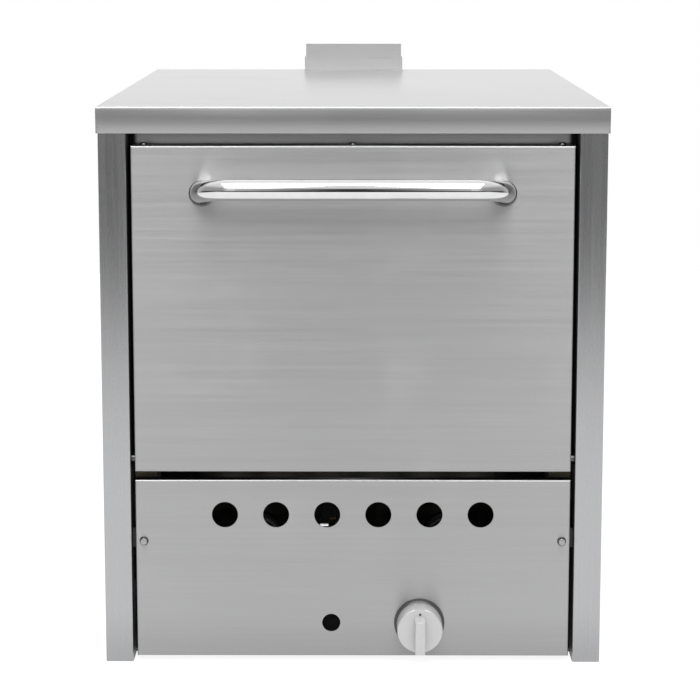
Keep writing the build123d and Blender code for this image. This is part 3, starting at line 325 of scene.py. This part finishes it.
def burner_iron():
    """Black steel tube with a dark, faintly blue-grey scale, rusty in spots."""
    finish = Finish("burner_iron")
    scale = finish.noise((120.0, 60.0, 120.0), detail=5.0, roughness=0.65)
    rust = finish.noise((36.0, 24.0, 36.0), detail=5.0, roughness=0.7).step(0.56, 0.72)
    iron = finish.mix(scale, (0.035, 0.037, 0.045), (0.13, 0.13, 0.14))
    finish.set("Base Color", finish.mix(rust, iron, (0.23, 0.09, 0.035)))
    finish.set("Metallic", 0.85 - rust * 0.7)
    finish.set("Roughness", 0.48 + rust * 0.32 + (scale - 0.5) * 0.2)
    finish.bump(scale + rust * 0.6, 0.35, 0.0006)
    return finish.material


def machined_brass():
    """Turned brass with fine rings and tarnished patches."""
    finish = Finish("machined_brass", {"Metallic": 1.0})
    rings = finish.noise((160.0, 2200.0, 160.0), detail=2.0)
    tarnish = finish.noise((95.0, 95.0, 95.0), detail=4.0).step(0.45, 0.75)
    finish.set("Base Color", finish.mix(tarnish, (0.78, 0.58, 0.27), (0.44, 0.29, 0.12)))
    finish.set("Roughness", 0.22 + tarnish * 0.22 + (rings - 0.5) * 0.12)
    finish.bump(rings, 0.12, 0.0002)
    return finish.material


def black_pipe():
    """Lacquered iron pipe with a mill grain and worn spots."""
    finish = Finish("black_iron_pipe", {})
    grain = finish.noise((300.0, 110.0, 300.0), detail=4.0, roughness=0.6)
    worn = finish.noise((70.0, 30.0, 70.0), detail=4.0).step(0.62, 0.74)
    finish.set("Base Color", finish.mix(worn, (0.028, 0.028, 0.030), (0.20, 0.19, 0.185)))
    finish.set("Metallic", 0.25 + worn * 0.6)
    finish.set("Roughness", 0.42 + (grain - 0.5) * 0.3)
    finish.bump(grain, 0.3, 0.0005)
    return finish.material


def valve_casting():
    """Cast aluminium with a sandy skin and grey stains."""
    finish = Finish("valve_casting", {"Metallic": 0.9})
    sand = finish.noise((650.0, 650.0, 650.0), detail=3.0)
    stain = finish.noise((40.0, 40.0, 40.0), detail=4.0)
    finish.set("Base Color", finish.mix(stain, (0.36, 0.36, 0.37), (0.60, 0.60, 0.61)))
    finish.set("Roughness", 0.46 + (stain - 0.5) * 0.25)
    finish.bump(sand, 0.35, 0.0004)
    return finish.material


def moulded_plastic(name, light, dark, rough):
    """Moulded plastic with a fine spark-eroded grain and rubbed patches."""
    finish = Finish(name, {"IOR": 1.49})
    grain = finish.noise((1500.0, 1500.0, 1500.0), detail=2.0)
    rubbed = finish.noise((90.0, 90.0, 90.0), detail=3.0)
    finish.set("Base Color", finish.mix(rubbed, dark, light))
    finish.set("Roughness", rough + (rubbed - 0.5) * 0.22)
    finish.bump(grain, 0.15, 0.0002)
    return finish.material


def satin_knob():
    """Satin knob metal: fine upright lines on its face and light finger marks."""
    finish = Finish("satin_knob_metal", {"Metallic": 0.45, "Anisotropic": 0.35})
    lines = finish.noise((2600.0, 2600.0, 40.0), detail=2.0)
    marks = finish.noise((110.0, 110.0, 110.0), detail=4.0)
    finish.set("Base Color", finish.mix(lines * 0.6 + marks * 0.4, (0.43, 0.43, 0.433), (0.52, 0.52, 0.523)))
    finish.set("Roughness", 0.40 + (lines - 0.5) * 0.12 + (marks - 0.5) * 0.12)
    finish.bump(lines, 0.06, 0.0002)
    return finish.material


def soft_tube():
    """Drawn soft tube, duller in places."""
    finish = Finish("soft_drawn_tube", {"Metallic": 1.0})
    drawn = finish.noise((140.0, 140.0, 140.0), detail=4.0)
    dull = finish.noise((30.0, 30.0, 30.0), detail=3.0)
    finish.set("Base Color", finish.mix(drawn, (0.52, 0.51, 0.50), (0.74, 0.73, 0.72)))
    finish.set("Roughness", 0.34 + (dull - 0.5) * 0.3)
    finish.bump(drawn, 0.15, 0.0003)
    return finish.material


def woven_glass():
    """Woven glass rope: small crossed picks, greyed by heat."""
    finish = Finish("woven_glass_rope", {"Roughness": 0.9, "Sheen Weight": 0.2})
    warp, weft = [
        finish.node(
            "ShaderNodeTexWave", {"bands_direction": "DIAGONAL"},
            {"Vector": finish.stretched((side, 1.0, 1.0)), "Scale": 210.0, "Distortion": 1.2, "Detail": 2.0},
            1,
        )
        for side in (1.0, -1.0)
    ]
    grey = finish.noise((22.0, 22.0, 22.0), detail=4.0)
    weave = warp * weft
    base = finish.mix(weave, (0.22, 0.20, 0.17), (0.58, 0.55, 0.48))
    finish.set("Base Color", finish.mix(grey.step(0.45, 0.8) * 0.5, base, (0.13, 0.115, 0.10)))
    finish.bump(weave, 0.7, 0.0012)
    return finish.material


def polished_tube():
    """Polished tube: nearly clear reflections, hairline scratches and faint finger marks."""
    finish = Finish("polished_handle", {"Metallic": 1.0})
    hairs = finish.noise((25.0, 2400.0, 2400.0), detail=2.0)
    marks = finish.noise((60.0, 60.0, 60.0), detail=5.0, roughness=0.6)
    finish.set("Base Color", finish.mix(marks, (0.60, 0.60, 0.605), (0.70, 0.70, 0.704)))
    finish.set("Roughness", 0.045 + marks.step(0.5, 0.8) * 0.06 + hairs.step(0.6, 0.8) * 0.05)
    finish.bump(hairs, 0.02, 0.0001)
    return finish.material


front_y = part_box("side_panel_right")[0].y
lid_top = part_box("lid")[1].z
across = brushed_steel(
    "sheet_brushed_across", "X", (0.40, 0.40, 0.402), (0.31, 0.31, 0.312), 0.35, 0.85, QUARTER_TURN,
)
upright = brushed_steel(
    "sheet_brushed_upright", "Z", (0.44, 0.443, 0.45), (0.37, 0.372, 0.378), 0.27, 0.5, NO_TURN,
)
# painted light: the lid's base colours are raised above the door sheet's so its top reads brighter, a lighter
# copy of the same steel
lightened_lid_steel = brushed_steel(
    "lid_sheet_brushed", "X", (0.53, 0.53, 0.534), (0.45, 0.45, 0.454), 0.33, 0.0, NO_TURN, seams=False,
)
flue_steel = brushed_steel(
    "flue_sheet_brushed", "X", (0.45, 0.45, 0.454), (0.38, 0.38, 0.384), 0.30, 0.5, QUARTER_TURN, seams=False,
)
finishes = {
    "outer_steel": across,
    "frame_steel": dull_steel(),
    "liner_steel": aluminised_sheet(),
    "galvanised_steel": galvanised_sheet("galvanised_spangle", (0.36, 0.37, 0.38), (0.54, 0.55, 0.56)),
    "bright_screw": bright_fixing("bright_fixing", (0.26, 0.26, 0.265), (0.42, 0.42, 0.425)),
    "mineral_wool": mineral_wool(),
    "hearth_stone": hearth_stone(),
    "burner_iron": burner_iron(),
    "brass": machined_brass(),
    "black_pipe": black_pipe(),
    "valve_casting": valve_casting(),
    "button_plastic": moulded_plastic("red_button", (0.62, 0.045, 0.035), (0.45, 0.025, 0.02), 0.38),
    "bezel_black": moulded_plastic("black_skirt", (0.055, 0.055, 0.058), (0.028, 0.028, 0.03), 0.32),
    "knob_metal": satin_knob(),
    "soft_aluminium": soft_tube(),
    "woven_gasket": woven_glass(),
    "handle_chrome": polished_tube(),
}
smoked_sheet = galvanised_sheet("smoked_sheet", (0.035, 0.033, 0.03), (0.07, 0.066, 0.06))
# painted shade: dark fixing metal for the handle's ferrule rings, the hinge pins in the side gaps and the
# door's edge screws, standing in for the shade they sit in
shade_dark_fixing_metal = bright_fixing("shade_dark_fixing_metal", (0.10, 0.10, 0.102), (0.17, 0.17, 0.172))
# painted shadow: near-black washer metal standing in for the shaded ring round each panel screw head
shadow_ring_washer = bright_fixing("shadow_ring_washer", (0.05, 0.05, 0.051), (0.09, 0.09, 0.091))
dark_mark = moulded_plastic("pointer_paint", (0.03, 0.03, 0.03), (0.015, 0.015, 0.015), 0.6)

for part in frame["record"]["subparts"]:
    node = frame["nodes"][part["node"]]
    look = finishes[part["material_slot"]]
    if part["node"].startswith("side_panel"):
        look = upright
    if part["node"] in ("flue_deflector", "flue_collar"):
        look = flue_steel
    if part["node"] in ("fire_wall", "burner_support"):
        look = smoked_sheet
    # the hinge pins get the dark fixing metal as painted shade in the side gaps
    if part["node"] == "hinge_pivots":
        look = shade_dark_fixing_metal
    node.data.materials.clear()
    node.data.materials.append(look)


# ---- Making pieces ----


def piece(name, bm, body, slot, *stands_for, finish=None, smooth=40.0):
    """The finished piece, riding on its body; faces meeting below the smooth angle are shaded as one."""
    mesh = bpy.data.meshes.new(name)
    bm.to_mesh(mesh)
    bm.free()
    made = bpy.data.objects.new(name, mesh)
    bpy.context.scene.collection.objects.link(made)
    mesh.materials.append(finish or finishes[slot])
    mesh.shade_smooth()
    mesh.set_sharp_from_angle(angle=radians(smooth))
    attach(made, body)
    if stands_for:
        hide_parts(*stands_for)
    return made


def rounded(made, width, segments=3, angle=30.0):
    """A Bevel modifier that rounds the piece's sharp edges."""
    bevel = made.modifiers.new("rounding", "BEVEL")
    bevel.width = width
    bevel.segments = segments
    bevel.limit_method = "ANGLE"
    bevel.angle_limit = radians(angle)
    return made


def walled(made, thickness):
    """A Solidify modifier that gives a folded sheet its thickness on the inside."""
    wall = made.modifiers.new("sheet", "SOLIDIFY")
    wall.thickness = thickness
    wall.offset = -1.0
    wall.use_even_offset = True
    return made


def box_in(bm, low, high):
    """A box between two corners; returns its vertices."""
    low, high = Vector(low), Vector(high)
    size = high - low
    place = Matrix.Translation((low + high) / 2) @ Matrix.Diagonal((*size, 1.0))
    return bmesh.ops.create_cube(bm, size=1.0, matrix=place)["verts"]


def turned(bm, profile, centre, axis="Y", steps=64):
    """A full turn of a closed profile of (radius, distance along the axis) pairs."""
    along = {"X": Vector((1, 0, 0)), "Y": Vector((0, 1, 0)), "Z": Vector((0, 0, 1))}[axis]
    out = {"X": Vector((0, 0, 1)), "Y": Vector((0, 0, 1)), "Z": Vector((1, 0, 0))}[axis]
    verts = [bm.verts.new(Vector(centre) + out * r + along * a) for r, a in profile]
    edges = [bm.edges.new((verts[i], verts[(i + 1) % len(verts)])) for i in range(len(verts))]
    bmesh.ops.spin(
        bm, geom=verts + edges, cent=centre, axis=along, dvec=(0, 0, 0),
        angle=2 * pi, steps=steps, use_merge=True, use_duplicate=False,
    )
    bmesh.ops.remove_doubles(bm, verts=bm.verts, dist=1e-6)


def outward(bm):
    bmesh.ops.recalc_face_normals(bm, faces=bm.faces)


def in_mm(profile):
    return [(r * MM, a * MM) for r, a in profile]


def verts_of(geom):
    return [g for g in geom if isinstance(g, bmesh.types.BMVert)]


def edges_of(geom):
    return [g for g in geom if isinstance(g, bmesh.types.BMEdge)]


# ---- Handle ----

HANDLE_R = 12.7 * MM
HANDLE_BEND = 44 * MM
HANDLE_TILT = radians(11)
HANDLE_REACH = 55 * MM
HANDLE_SIDES = 56
HANDLE_START = 6 * MM
BEND_STEPS = 22

door_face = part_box("door_skin")[0].y
ring_low, ring_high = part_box("handle_ferrules")
handle_root_z = (ring_low.z + ring_high.z) / 2
ring_r = (ring_high.z - ring_low.z) / 2
handle_half = ring_high.x - ring_r


def handle():
    """Tube bent from one length: leg, bend, bar, bend, leg, then tipped up about its roots."""
    bm = bmesh.new()
    leg = HANDLE_REACH / cos(HANDLE_TILT)
    place = Matrix.Translation((handle_half, HANDLE_START, 0)) @ Matrix.Rotation(pi / 2, 4, "X")
    ring = bmesh.ops.create_circle(
        bm, cap_ends=False, radius=HANDLE_R, segments=HANDLE_SIDES, matrix=place,
    )["verts"]
    edges = list({e for v in ring for e in v.link_edges})

    def pull(edges, move):
        out = bmesh.ops.extrude_edge_only(bm, edges=edges)["geom"]
        bmesh.ops.translate(bm, verts=verts_of(out), vec=move)
        return verts_of(out), edges_of(out)

    def bend(verts, edges, centre):
        last = bmesh.ops.spin(
            bm, geom=verts + edges, cent=centre, axis=(0, 0, 1), dvec=(0, 0, 0),
            angle=-pi / 2, steps=BEND_STEPS, use_merge=False, use_duplicate=False,
        )["geom_last"]
        return verts_of(last), edges_of(last)

    turn_y = -(leg - HANDLE_BEND)
    inner_x = handle_half - HANDLE_BEND
    verts, edges = pull(edges, (0, turn_y - HANDLE_START, 0))
    verts, edges = bend(verts, edges, (inner_x, turn_y, 0))
    verts, edges = pull(edges, (-2 * inner_x, 0, 0))
    verts, edges = bend(verts, edges, (-inner_x, turn_y, 0))
    pull(edges, (0, HANDLE_START - turn_y, 0))
    bmesh.ops.rotate(bm, verts=bm.verts, cent=(0, 0, 0), matrix=Matrix.Rotation(-HANDLE_TILT, 3, "X"))
    bmesh.ops.translate(bm, verts=bm.verts, vec=(0, door_face, handle_root_z))
    bmesh.ops.bisect_plane(
        bm, geom=bm.verts[:] + bm.edges[:] + bm.faces[:], plane_co=(0, door_face, 0),
        plane_no=(0, 1, 0), clear_outer=True,
    )
    bmesh.ops.holes_fill(bm, edges=[e for e in bm.edges if e.is_boundary], sides=0)
    outward(bm)
    return piece("handle_tube", bm, "door", "handle_chrome", "door_handle")


def ferrules():
    """Ring round each root, rounded in front."""
    bm = bmesh.new()
    profile = [(13.6, 0), (15.4, 0), (15.4, -0.9), (15.1, -1.5), (14.6, -1.9), (14.1, -2), (13.6, -1.7)]
    for side in (-1, 1):
        turned(bm, in_mm(profile), (side * handle_half, door_face, handle_root_z), steps=HANDLE_SIDES)
    outward(bm)
    return piece("handle_rings", bm, "door", "handle_chrome", "handle_ferrules", finish=shade_dark_fixing_metal)


handle()
ferrules()


# ---- Knob and skirt ----

KNOB_R = 27.5
KNOB_BORE_R = 4.1
KNOB_LENGTH = 27.0
GRIP_HALF = 6.0
GRIP_UP = 16.2
GRIP_DOWN = 25.3
GRIP_RISE = 15.0
GRIP_FRONT_DROP = 0.6
GRIP_ROOT_RISE = 1.4
STRIP_LOW = 15.0
STRIP_HIGH = 27.2
STRIP_RISE = 0.5
STRIP_BACK = 24.0
POINTER_UP = 20.8

bezel_low, bezel_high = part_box("knob_bezel")
knob_x = (bezel_low.x + bezel_high.x) / 2
knob_z = (bezel_low.z + bezel_high.z) / 2
knob_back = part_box("control_knob")[1].y
knob_face = knob_back - KNOB_LENGTH * MM


def skirt():
    """Dished plastic skirt with a raised rim."""
    bm = bmesh.new()
    profile = [
        (6.0, 0), (30.8, 0), (30.8, -1.2), (30.3, -2.0), (29.2, -2.2), (28.6, -2.1),
        (27.2, -3.3), (26.4, -3.9), (25.6, -4.0), (6.0, -4.0),
    ]
    turned(bm, in_mm(profile), (knob_x, bezel_high.y, knob_z), steps=72)
    outward(bm)
    return piece("knob_skirt", bm, "cabinet", "bezel_black", "knob_bezel", smooth=32)


def knob():
    """Turned body with a rounded rim at each end."""
    bm = bmesh.new()
    rim = KNOB_R
    end = -KNOB_LENGTH
    profile = [
        (KNOB_BORE_R, 0), (rim - 1.1, 0), (rim - 0.3, -0.4), (rim, -1.2), (rim, end + 1.6),
        (rim - 0.2, end + 0.8), (rim - 0.8, end + 0.2), (rim - 1.6, end), (KNOB_BORE_R, end),
    ]
    turned(bm, in_mm(profile), (knob_x, knob_back, knob_z), steps=96)
    bmesh.ops.holes_fill(bm, edges=[e for e in bm.edges if e.is_boundary], sides=0)
    outward(bm)
    return piece("knob_body", bm, "knob", "knob_metal", "control_knob", smooth=32)


def knob_grip():
    """Bar across the face with rounded outer edges and a slightly sloped upper end."""
    bm = bmesh.new()
    low = (knob_x - GRIP_HALF * MM, knob_face - GRIP_RISE * MM, knob_z - GRIP_DOWN * MM)
    high = (knob_x + GRIP_HALF * MM, knob_face + 0.8 * MM, knob_z + GRIP_UP * MM)
    for v in box_in(bm, low, high):
        if v.co.z > knob_z:
            v.co.z += (-GRIP_FRONT_DROP if v.co.y < knob_face else GRIP_ROOT_RISE) * MM
    bmesh.ops.bevel(
        bm, geom=[e for e in bm.edges if all(v.co.y < knob_face for v in e.verts)],
        offset=0.9 * MM, segments=3, profile=0.5, affect="EDGES", material=-1,
    )
    outward(bm)
    return piece("knob_grip", bm, "knob", "knob_metal")


def knob_strip():
    """Flat strip from the bar's upper end out to the rim; it carries the pointer."""
    bm = bmesh.new()
    outline = [
        (STRIP_LOW, 1.0), (STRIP_LOW, -STRIP_RISE), (STRIP_HIGH, -STRIP_RISE),
        (STRIP_HIGH, STRIP_BACK), (STRIP_LOW, STRIP_BACK),
    ]
    side = bm.faces.new([
        bm.verts.new((knob_x - GRIP_HALF * MM, knob_face + d * MM, knob_z + up * MM)) for up, d in outline
    ])
    out = bmesh.ops.extrude_face_region(bm, geom=[side])["geom"]
    bmesh.ops.translate(bm, verts=verts_of(out), vec=(2 * GRIP_HALF * MM, 0, 0))
    outward(bm)
    made = piece("knob_strip", bm, "knob", "knob_metal", smooth=30)
    return rounded(made, 0.15 * MM, segments=2)


def pointer():
    """Small sunk dot above the bar."""
    bm = bmesh.new()
    profile = [(0.0005, 0.0), (1.5, 0.0), (1.5, -0.12), (1.1, -0.1), (0.0005, -0.04)]
    place = (knob_x, knob_face - STRIP_RISE * MM, knob_z + POINTER_UP * MM)
    turned(bm, in_mm(profile), place, steps=24)
    outward(bm)
    return piece("knob_pointer", bm, "knob", "bezel_black", finish=dark_mark)


skirt()
knob()
knob_grip()
knob_strip()
pointer()


# ---- Screws ----

DOOR_SCREW = {"head_r": 4.75, "head": 3.0, "shank_r": 2.5, "shank": 9.0}
DOOR_SCREW_DEPTH = 14.0
DOOR_TOP_SCREWS = (-249.5, 0.0, 249.5)
DOOR_BOTTOM_SCREWS = (-225.0, 237.0)
CABINET_SCREW = {"head_r": 4.0, "head": 2.5, "shank_r": 2.0, "shank": 10.0}
BACK_SCREW_ROWS = 4
BACK_SCREW_MARGIN = 60.0
LID_SCREW_X = 200.0
LID_SCREW_DROP = 15.0
WASHER_R = 5.5
WASHER_RISE = 1.0
HEX_R = 4.4
HEX_RISE = 4.0
PANEL_SHANK_R = 2.5
PANEL_SHANK = 20.0


def cross_screw(bm, seat, out, head_r, head, shank_r, shank):
    """Pan-head screw with a cross recess; out is the way its head points."""
    made = bmesh.new()
    profile = [
        (0.02, head), (head_r * 0.45, head * 0.99), (head_r * 0.78, head * 0.86),
        (head_r * 0.95, head * 0.55), (head_r, head * 0.2), (head_r, 0), (shank_r, 0),
        (shank_r, -shank + shank_r * 0.6), (0.02, -shank),
    ]
    turned(made, in_mm(profile), (0, 0, 0), axis="Z", steps=24)
    outward(made)
    arm = head_r * 0.52
    for angle in (0, pi / 2):
        cut = [
            v for v in made.verts
            if v.co.z > head * 0.8 * MM
            and abs((Matrix.Rotation(angle, 3, "Z") @ v.co).x) < 0.16 * head_r * MM
            and v.co.xy.length < arm * MM
        ]
        for v in cut:
            v.co.z -= head * 0.5 * MM
    turn = Vector((0, 0, 1)).rotation_difference(Vector(out)).to_matrix().to_4x4()
    bmesh.ops.transform(made, matrix=Matrix.Translation(seat) @ turn, verts=made.verts)
    mesh = bpy.data.meshes.new("screw")
    made.to_mesh(mesh)
    made.free()
    bm.from_mesh(mesh)
    bpy.data.meshes.remove(mesh)


def door_screws():
    bm = bmesh.new()
    low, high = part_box("door_skin")
    depth = low.y + DOOR_SCREW_DEPTH * MM
    for x in DOOR_TOP_SCREWS:
        cross_screw(bm, (x * MM, depth, high.z), (0, 0, 1), **DOOR_SCREW)
    for x in DOOR_BOTTOM_SCREWS:
        cross_screw(bm, (x * MM, depth, low.z), (0, 0, -1), **DOOR_SCREW)
    return piece("door_edge_screws", bm, "door", "bright_screw", "door_screws", finish=shade_dark_fixing_metal)


def panel_screw_places():
    """Where the axis of each lower panel screw meets the panel's face."""
    low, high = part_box("panel_screws")
    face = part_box("lower_front_panel")[0].y
    return [(side * (high.x - WASHER_R * MM), face, (low.z + high.z) / 2) for side in (-1, 1)]


def panel_screws():
    """Hexagon heads with a rounded front edge, and their shanks."""
    bm = bmesh.new()
    for x, face, z in panel_screw_places():
        place = Matrix.Translation((x, face - WASHER_RISE * MM, z)) @ Matrix.Rotation(pi / 2, 4, "X")
        base = bmesh.ops.create_circle(bm, cap_ends=True, radius=HEX_R * MM, segments=6, matrix=place)
        faces = list({f for v in base["verts"] for f in v.link_faces})
        top = bmesh.ops.extrude_face_region(bm, geom=faces)["geom"]
        bmesh.ops.translate(bm, verts=verts_of(top), vec=(0, -HEX_RISE * MM, 0))
        rim = list({e for f in top if isinstance(f, bmesh.types.BMFace) for e in f.edges})
        bmesh.ops.bevel(bm, geom=rim, offset=0.6 * MM, segments=3, profile=0.5, affect="EDGES", material=-1)
        shank = [(PANEL_SHANK_R, 0.2), (PANEL_SHANK_R, PANEL_SHANK), (0.01, PANEL_SHANK), (0.01, 0.2)]
        turned(bm, in_mm(shank), (x, face, z), steps=20)
    outward(bm)
    return piece("panel_hex_screws", bm, "cabinet", "bright_screw", "panel_screws", smooth=30)


def panel_washers():
    """Sprung washer under each panel screw, near black as a painted shadow ring round the head."""
    bm = bmesh.new()
    profile = [
        (PANEL_SHANK_R, 0), (WASHER_R, 0), (WASHER_R, -0.5),
        (5.2, -0.85), (4.6, -WASHER_RISE), (PANEL_SHANK_R, -WASHER_RISE),
    ]
    for place in panel_screw_places():
        turned(bm, in_mm(profile), place, steps=40)
    outward(bm)
    return piece("panel_screw_washers", bm, "cabinet", "bright_screw", finish=shadow_ring_washer)


def cabinet_screws():
    """A column of screws up each side of the back panel and two through the lid's rear flange."""
    bm = bmesh.new()
    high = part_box("cabinet_screws")[1]
    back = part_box("back_panel")[1]
    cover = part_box("lid")[1]
    x = high.x - CABINET_SCREW["head_r"] * MM
    step = (back.z - 2 * BACK_SCREW_MARGIN * MM) / (BACK_SCREW_ROWS - 1)
    for side in (-1, 1):
        for row in range(BACK_SCREW_ROWS):
            seat = (side * x, back.y, BACK_SCREW_MARGIN * MM + row * step)
            cross_screw(bm, seat, (0, 1, 0), **CABINET_SCREW)
        seat = (side * LID_SCREW_X * MM, cover.y, cover.z - LID_SCREW_DROP * MM)
        cross_screw(bm, seat, (0, 1, 0), **CABINET_SCREW)
    return piece("cabinet_pan_screws", bm, "cabinet", "bright_screw", "cabinet_screws")


door_screws()
panel_screws()
panel_washers()
cabinet_screws()


# ---- Lid ----

LID_SHEET = 1.5
LID_FOLD = 2.2
CORNER_GAP = 1.6
FLUE_GAP = 0.5
NEAR = 1e-5


def lid():
    """Folded cover with open corner seams and the notch for the flue."""
    low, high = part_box("lid")
    duct_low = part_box("flue_collar")[0]
    notch = abs(duct_low.x) + FLUE_GAP * MM
    notch_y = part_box("flue_deflector")[0].y - FLUE_GAP * MM
    bm = bmesh.new()
    box_in(bm, low, high)
    bottom = [f for f in bm.faces if f.normal.z < -0.5]
    bmesh.ops.delete(bm, geom=bottom, context="FACES")
    cuts = (((-notch, 0, 0), (1, 0, 0)), ((notch, 0, 0), (1, 0, 0)), ((0, notch_y, 0), (0, 1, 0)))
    for place, normal in cuts:
        bmesh.ops.bisect_plane(
            bm, geom=bm.verts[:] + bm.edges[:] + bm.faces[:], plane_co=place, plane_no=normal,
        )
    gone = [
        f for f in bm.faces
        if abs(f.calc_center_median().x) < notch - NEAR and f.calc_center_median().y > notch_y + NEAR
    ]
    bmesh.ops.delete(bm, geom=gone, context="FACES")
    bmesh.ops.dissolve_limit(bm, angle_limit=radians(1), verts=bm.verts, edges=bm.edges)
    bends = [
        e for e in bm.edges
        if len(e.link_faces) == 2 and e.calc_face_angle() > 1.0
        and all(v.co.z > high.z - NEAR for v in e.verts)
    ]
    bmesh.ops.bevel(
        bm, geom=bends, offset=LID_FOLD * MM, segments=5, profile=0.5, affect="EDGES", material=-1,
    )
    corners = [
        e for e in bm.edges
        if len(e.link_faces) == 2 and abs(e.verts[0].co.z - e.verts[1].co.z) > 20 * MM
        and e.calc_face_angle() > 1.0
    ]
    bmesh.ops.split_edges(bm, edges=corners)
    for f in bm.faces:
        if f.normal.y < -0.9:
            for v in f.verts:
                if v.co.z < low.z + NEAR:
                    v.co.x -= (CORNER_GAP if v.co.x > 0 else -CORNER_GAP) * MM
    made = piece("lid_cover", bm, "cabinet", "outer_steel", "lid", finish=lightened_lid_steel, smooth=50)
    return rounded(walled(made, LID_SHEET * MM), 0.35 * MM, segments=2, angle=50)


lid()


# ---- Hearth stones ----

STONE_WEAR = 2.2


def stone(name, node):
    """Slab with worn, rounded edges."""
    low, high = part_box(node)
    bm = bmesh.new()
    box_in(bm, low, high)
    bmesh.ops.bevel(
        bm, geom=bm.edges[:], offset=STONE_WEAR * MM, segments=3, profile=0.5, affect="EDGES", material=-1,
    )
    outward(bm)
    return piece(name, bm, "cabinet", "hearth_stone", node, smooth=60)


stone("lower_hearth", "hearth_stone_lower")
stone("upper_hearth", "hearth_stone_upper")


# ---- Floor, light and camera ----


def floor():
    """Pale floor, near enough white to leave only the soft shadow."""
    bm = bmesh.new()
    bmesh.ops.create_grid(bm, x_segments=8, y_segments=8, size=2.7)
    mesh = bpy.data.meshes.new("studio_floor")
    bm.to_mesh(mesh)
    bm.free()
    made = bpy.data.objects.new("studio_floor", mesh)
    bpy.context.scene.collection.objects.link(made)
    finish = Finish("pale_floor", {"Roughness": 0.9, "Specular IOR Level": 0.1, "Emission Strength": 0.90})
    speck = finish.noise((3.0, 3.0, 3.0), detail=2.0)
    finish.set("Base Color", finish.mix(speck, (0.18, 0.18, 0.18), (0.21, 0.21, 0.21)))
    finish.set("Emission Color", (1.0, 1.0, 1.0))
    mesh.materials.append(finish.material)


def studio():
    """Surroundings as reflections meet them; the camera itself sees plain white.

    They are dark below the horizon in front, bright above it and behind, and dimmer where
    someone would stand ahead and low down at both sides."""
    world = bpy.data.worlds.new("studio")
    bpy.context.scene.world = world
    world.use_nodes = True
    nodes = Nodes(world.node_tree)
    toward = nodes.node("ShaderNodeTexCoord", None, None, 0)
    x, y, z = nodes.parts(toward)
    rear = y.step(-0.1, 0.3)
    rising = z.step(-0.06, 0.03).highest(rear)
    ahead = (0.0 - y).step(0.75, 0.97)
    sideways = 1.0 - x.size().step(0.0, 0.14)
    person = ahead * sideways * (1.0 - z.step(0.20, 0.50)) * 0.95
    flanks = x.size().step(0.30, 0.60) * (1.0 - z.step(0.35, 0.75)) * 0.55
    bright = (0.17 + rising * 0.80) * (1.0 - person) * (1.0 - flanks) + rear * 0.2
    seen = nodes.node("ShaderNodeLightPath", None, None, 0)
    strength = bright * (1.0 - seen) + seen
    background = nodes.node(
        "ShaderNodeBackground", None, {"Color": (1.0, 1.0, 1.0), "Strength": strength}
    )
    output = nodes.tree.nodes.new("ShaderNodeOutputWorld")
    nodes.tree.links.new(background.socket, output.inputs["Surface"])


def soft_light(name, place, aim, width, depth, power):
    data = bpy.data.lights.new(name, "AREA")
    data.shape = "RECTANGLE"
    data.size = width
    data.size_y = depth
    data.energy = power
    lamp = bpy.data.objects.new(name, data)
    lamp.location = place
    lamp.rotation_euler = (Vector(aim) - Vector(place)).to_track_quat("-Z", "Y").to_euler()
    bpy.context.scene.collection.objects.link(lamp)


def camera():
    data = bpy.data.cameras.new("camera")
    data.lens = 105.68
    data.sensor_width = 36.0
    data.shift_x = 0.0034
    data.shift_y = -0.1494
    data.clip_end = 100.0
    made = bpy.data.objects.new("camera", data)
    made.location = (0.0034, -2.7878, 0.8668)
    made.rotation_euler = (radians(81.8), 0.0, radians(0.228))
    bpy.context.scene.collection.objects.link(made)
    bpy.context.scene.camera = made


floor()
studio()
soft_light("overhead_box", (0.0, -1.1, 2.4), (0.0, -0.3, 0.3), 2.4, 1.0, 30.0)
for side in (-1, 1):
    soft_light("front_box", (side * 0.80, -2.4, 2.3), (side * 0.2, -0.3, 0.5), 1.3, 1.0, 24.0)
camera()
bpy.context.scene.view_settings.view_transform = "Standard"
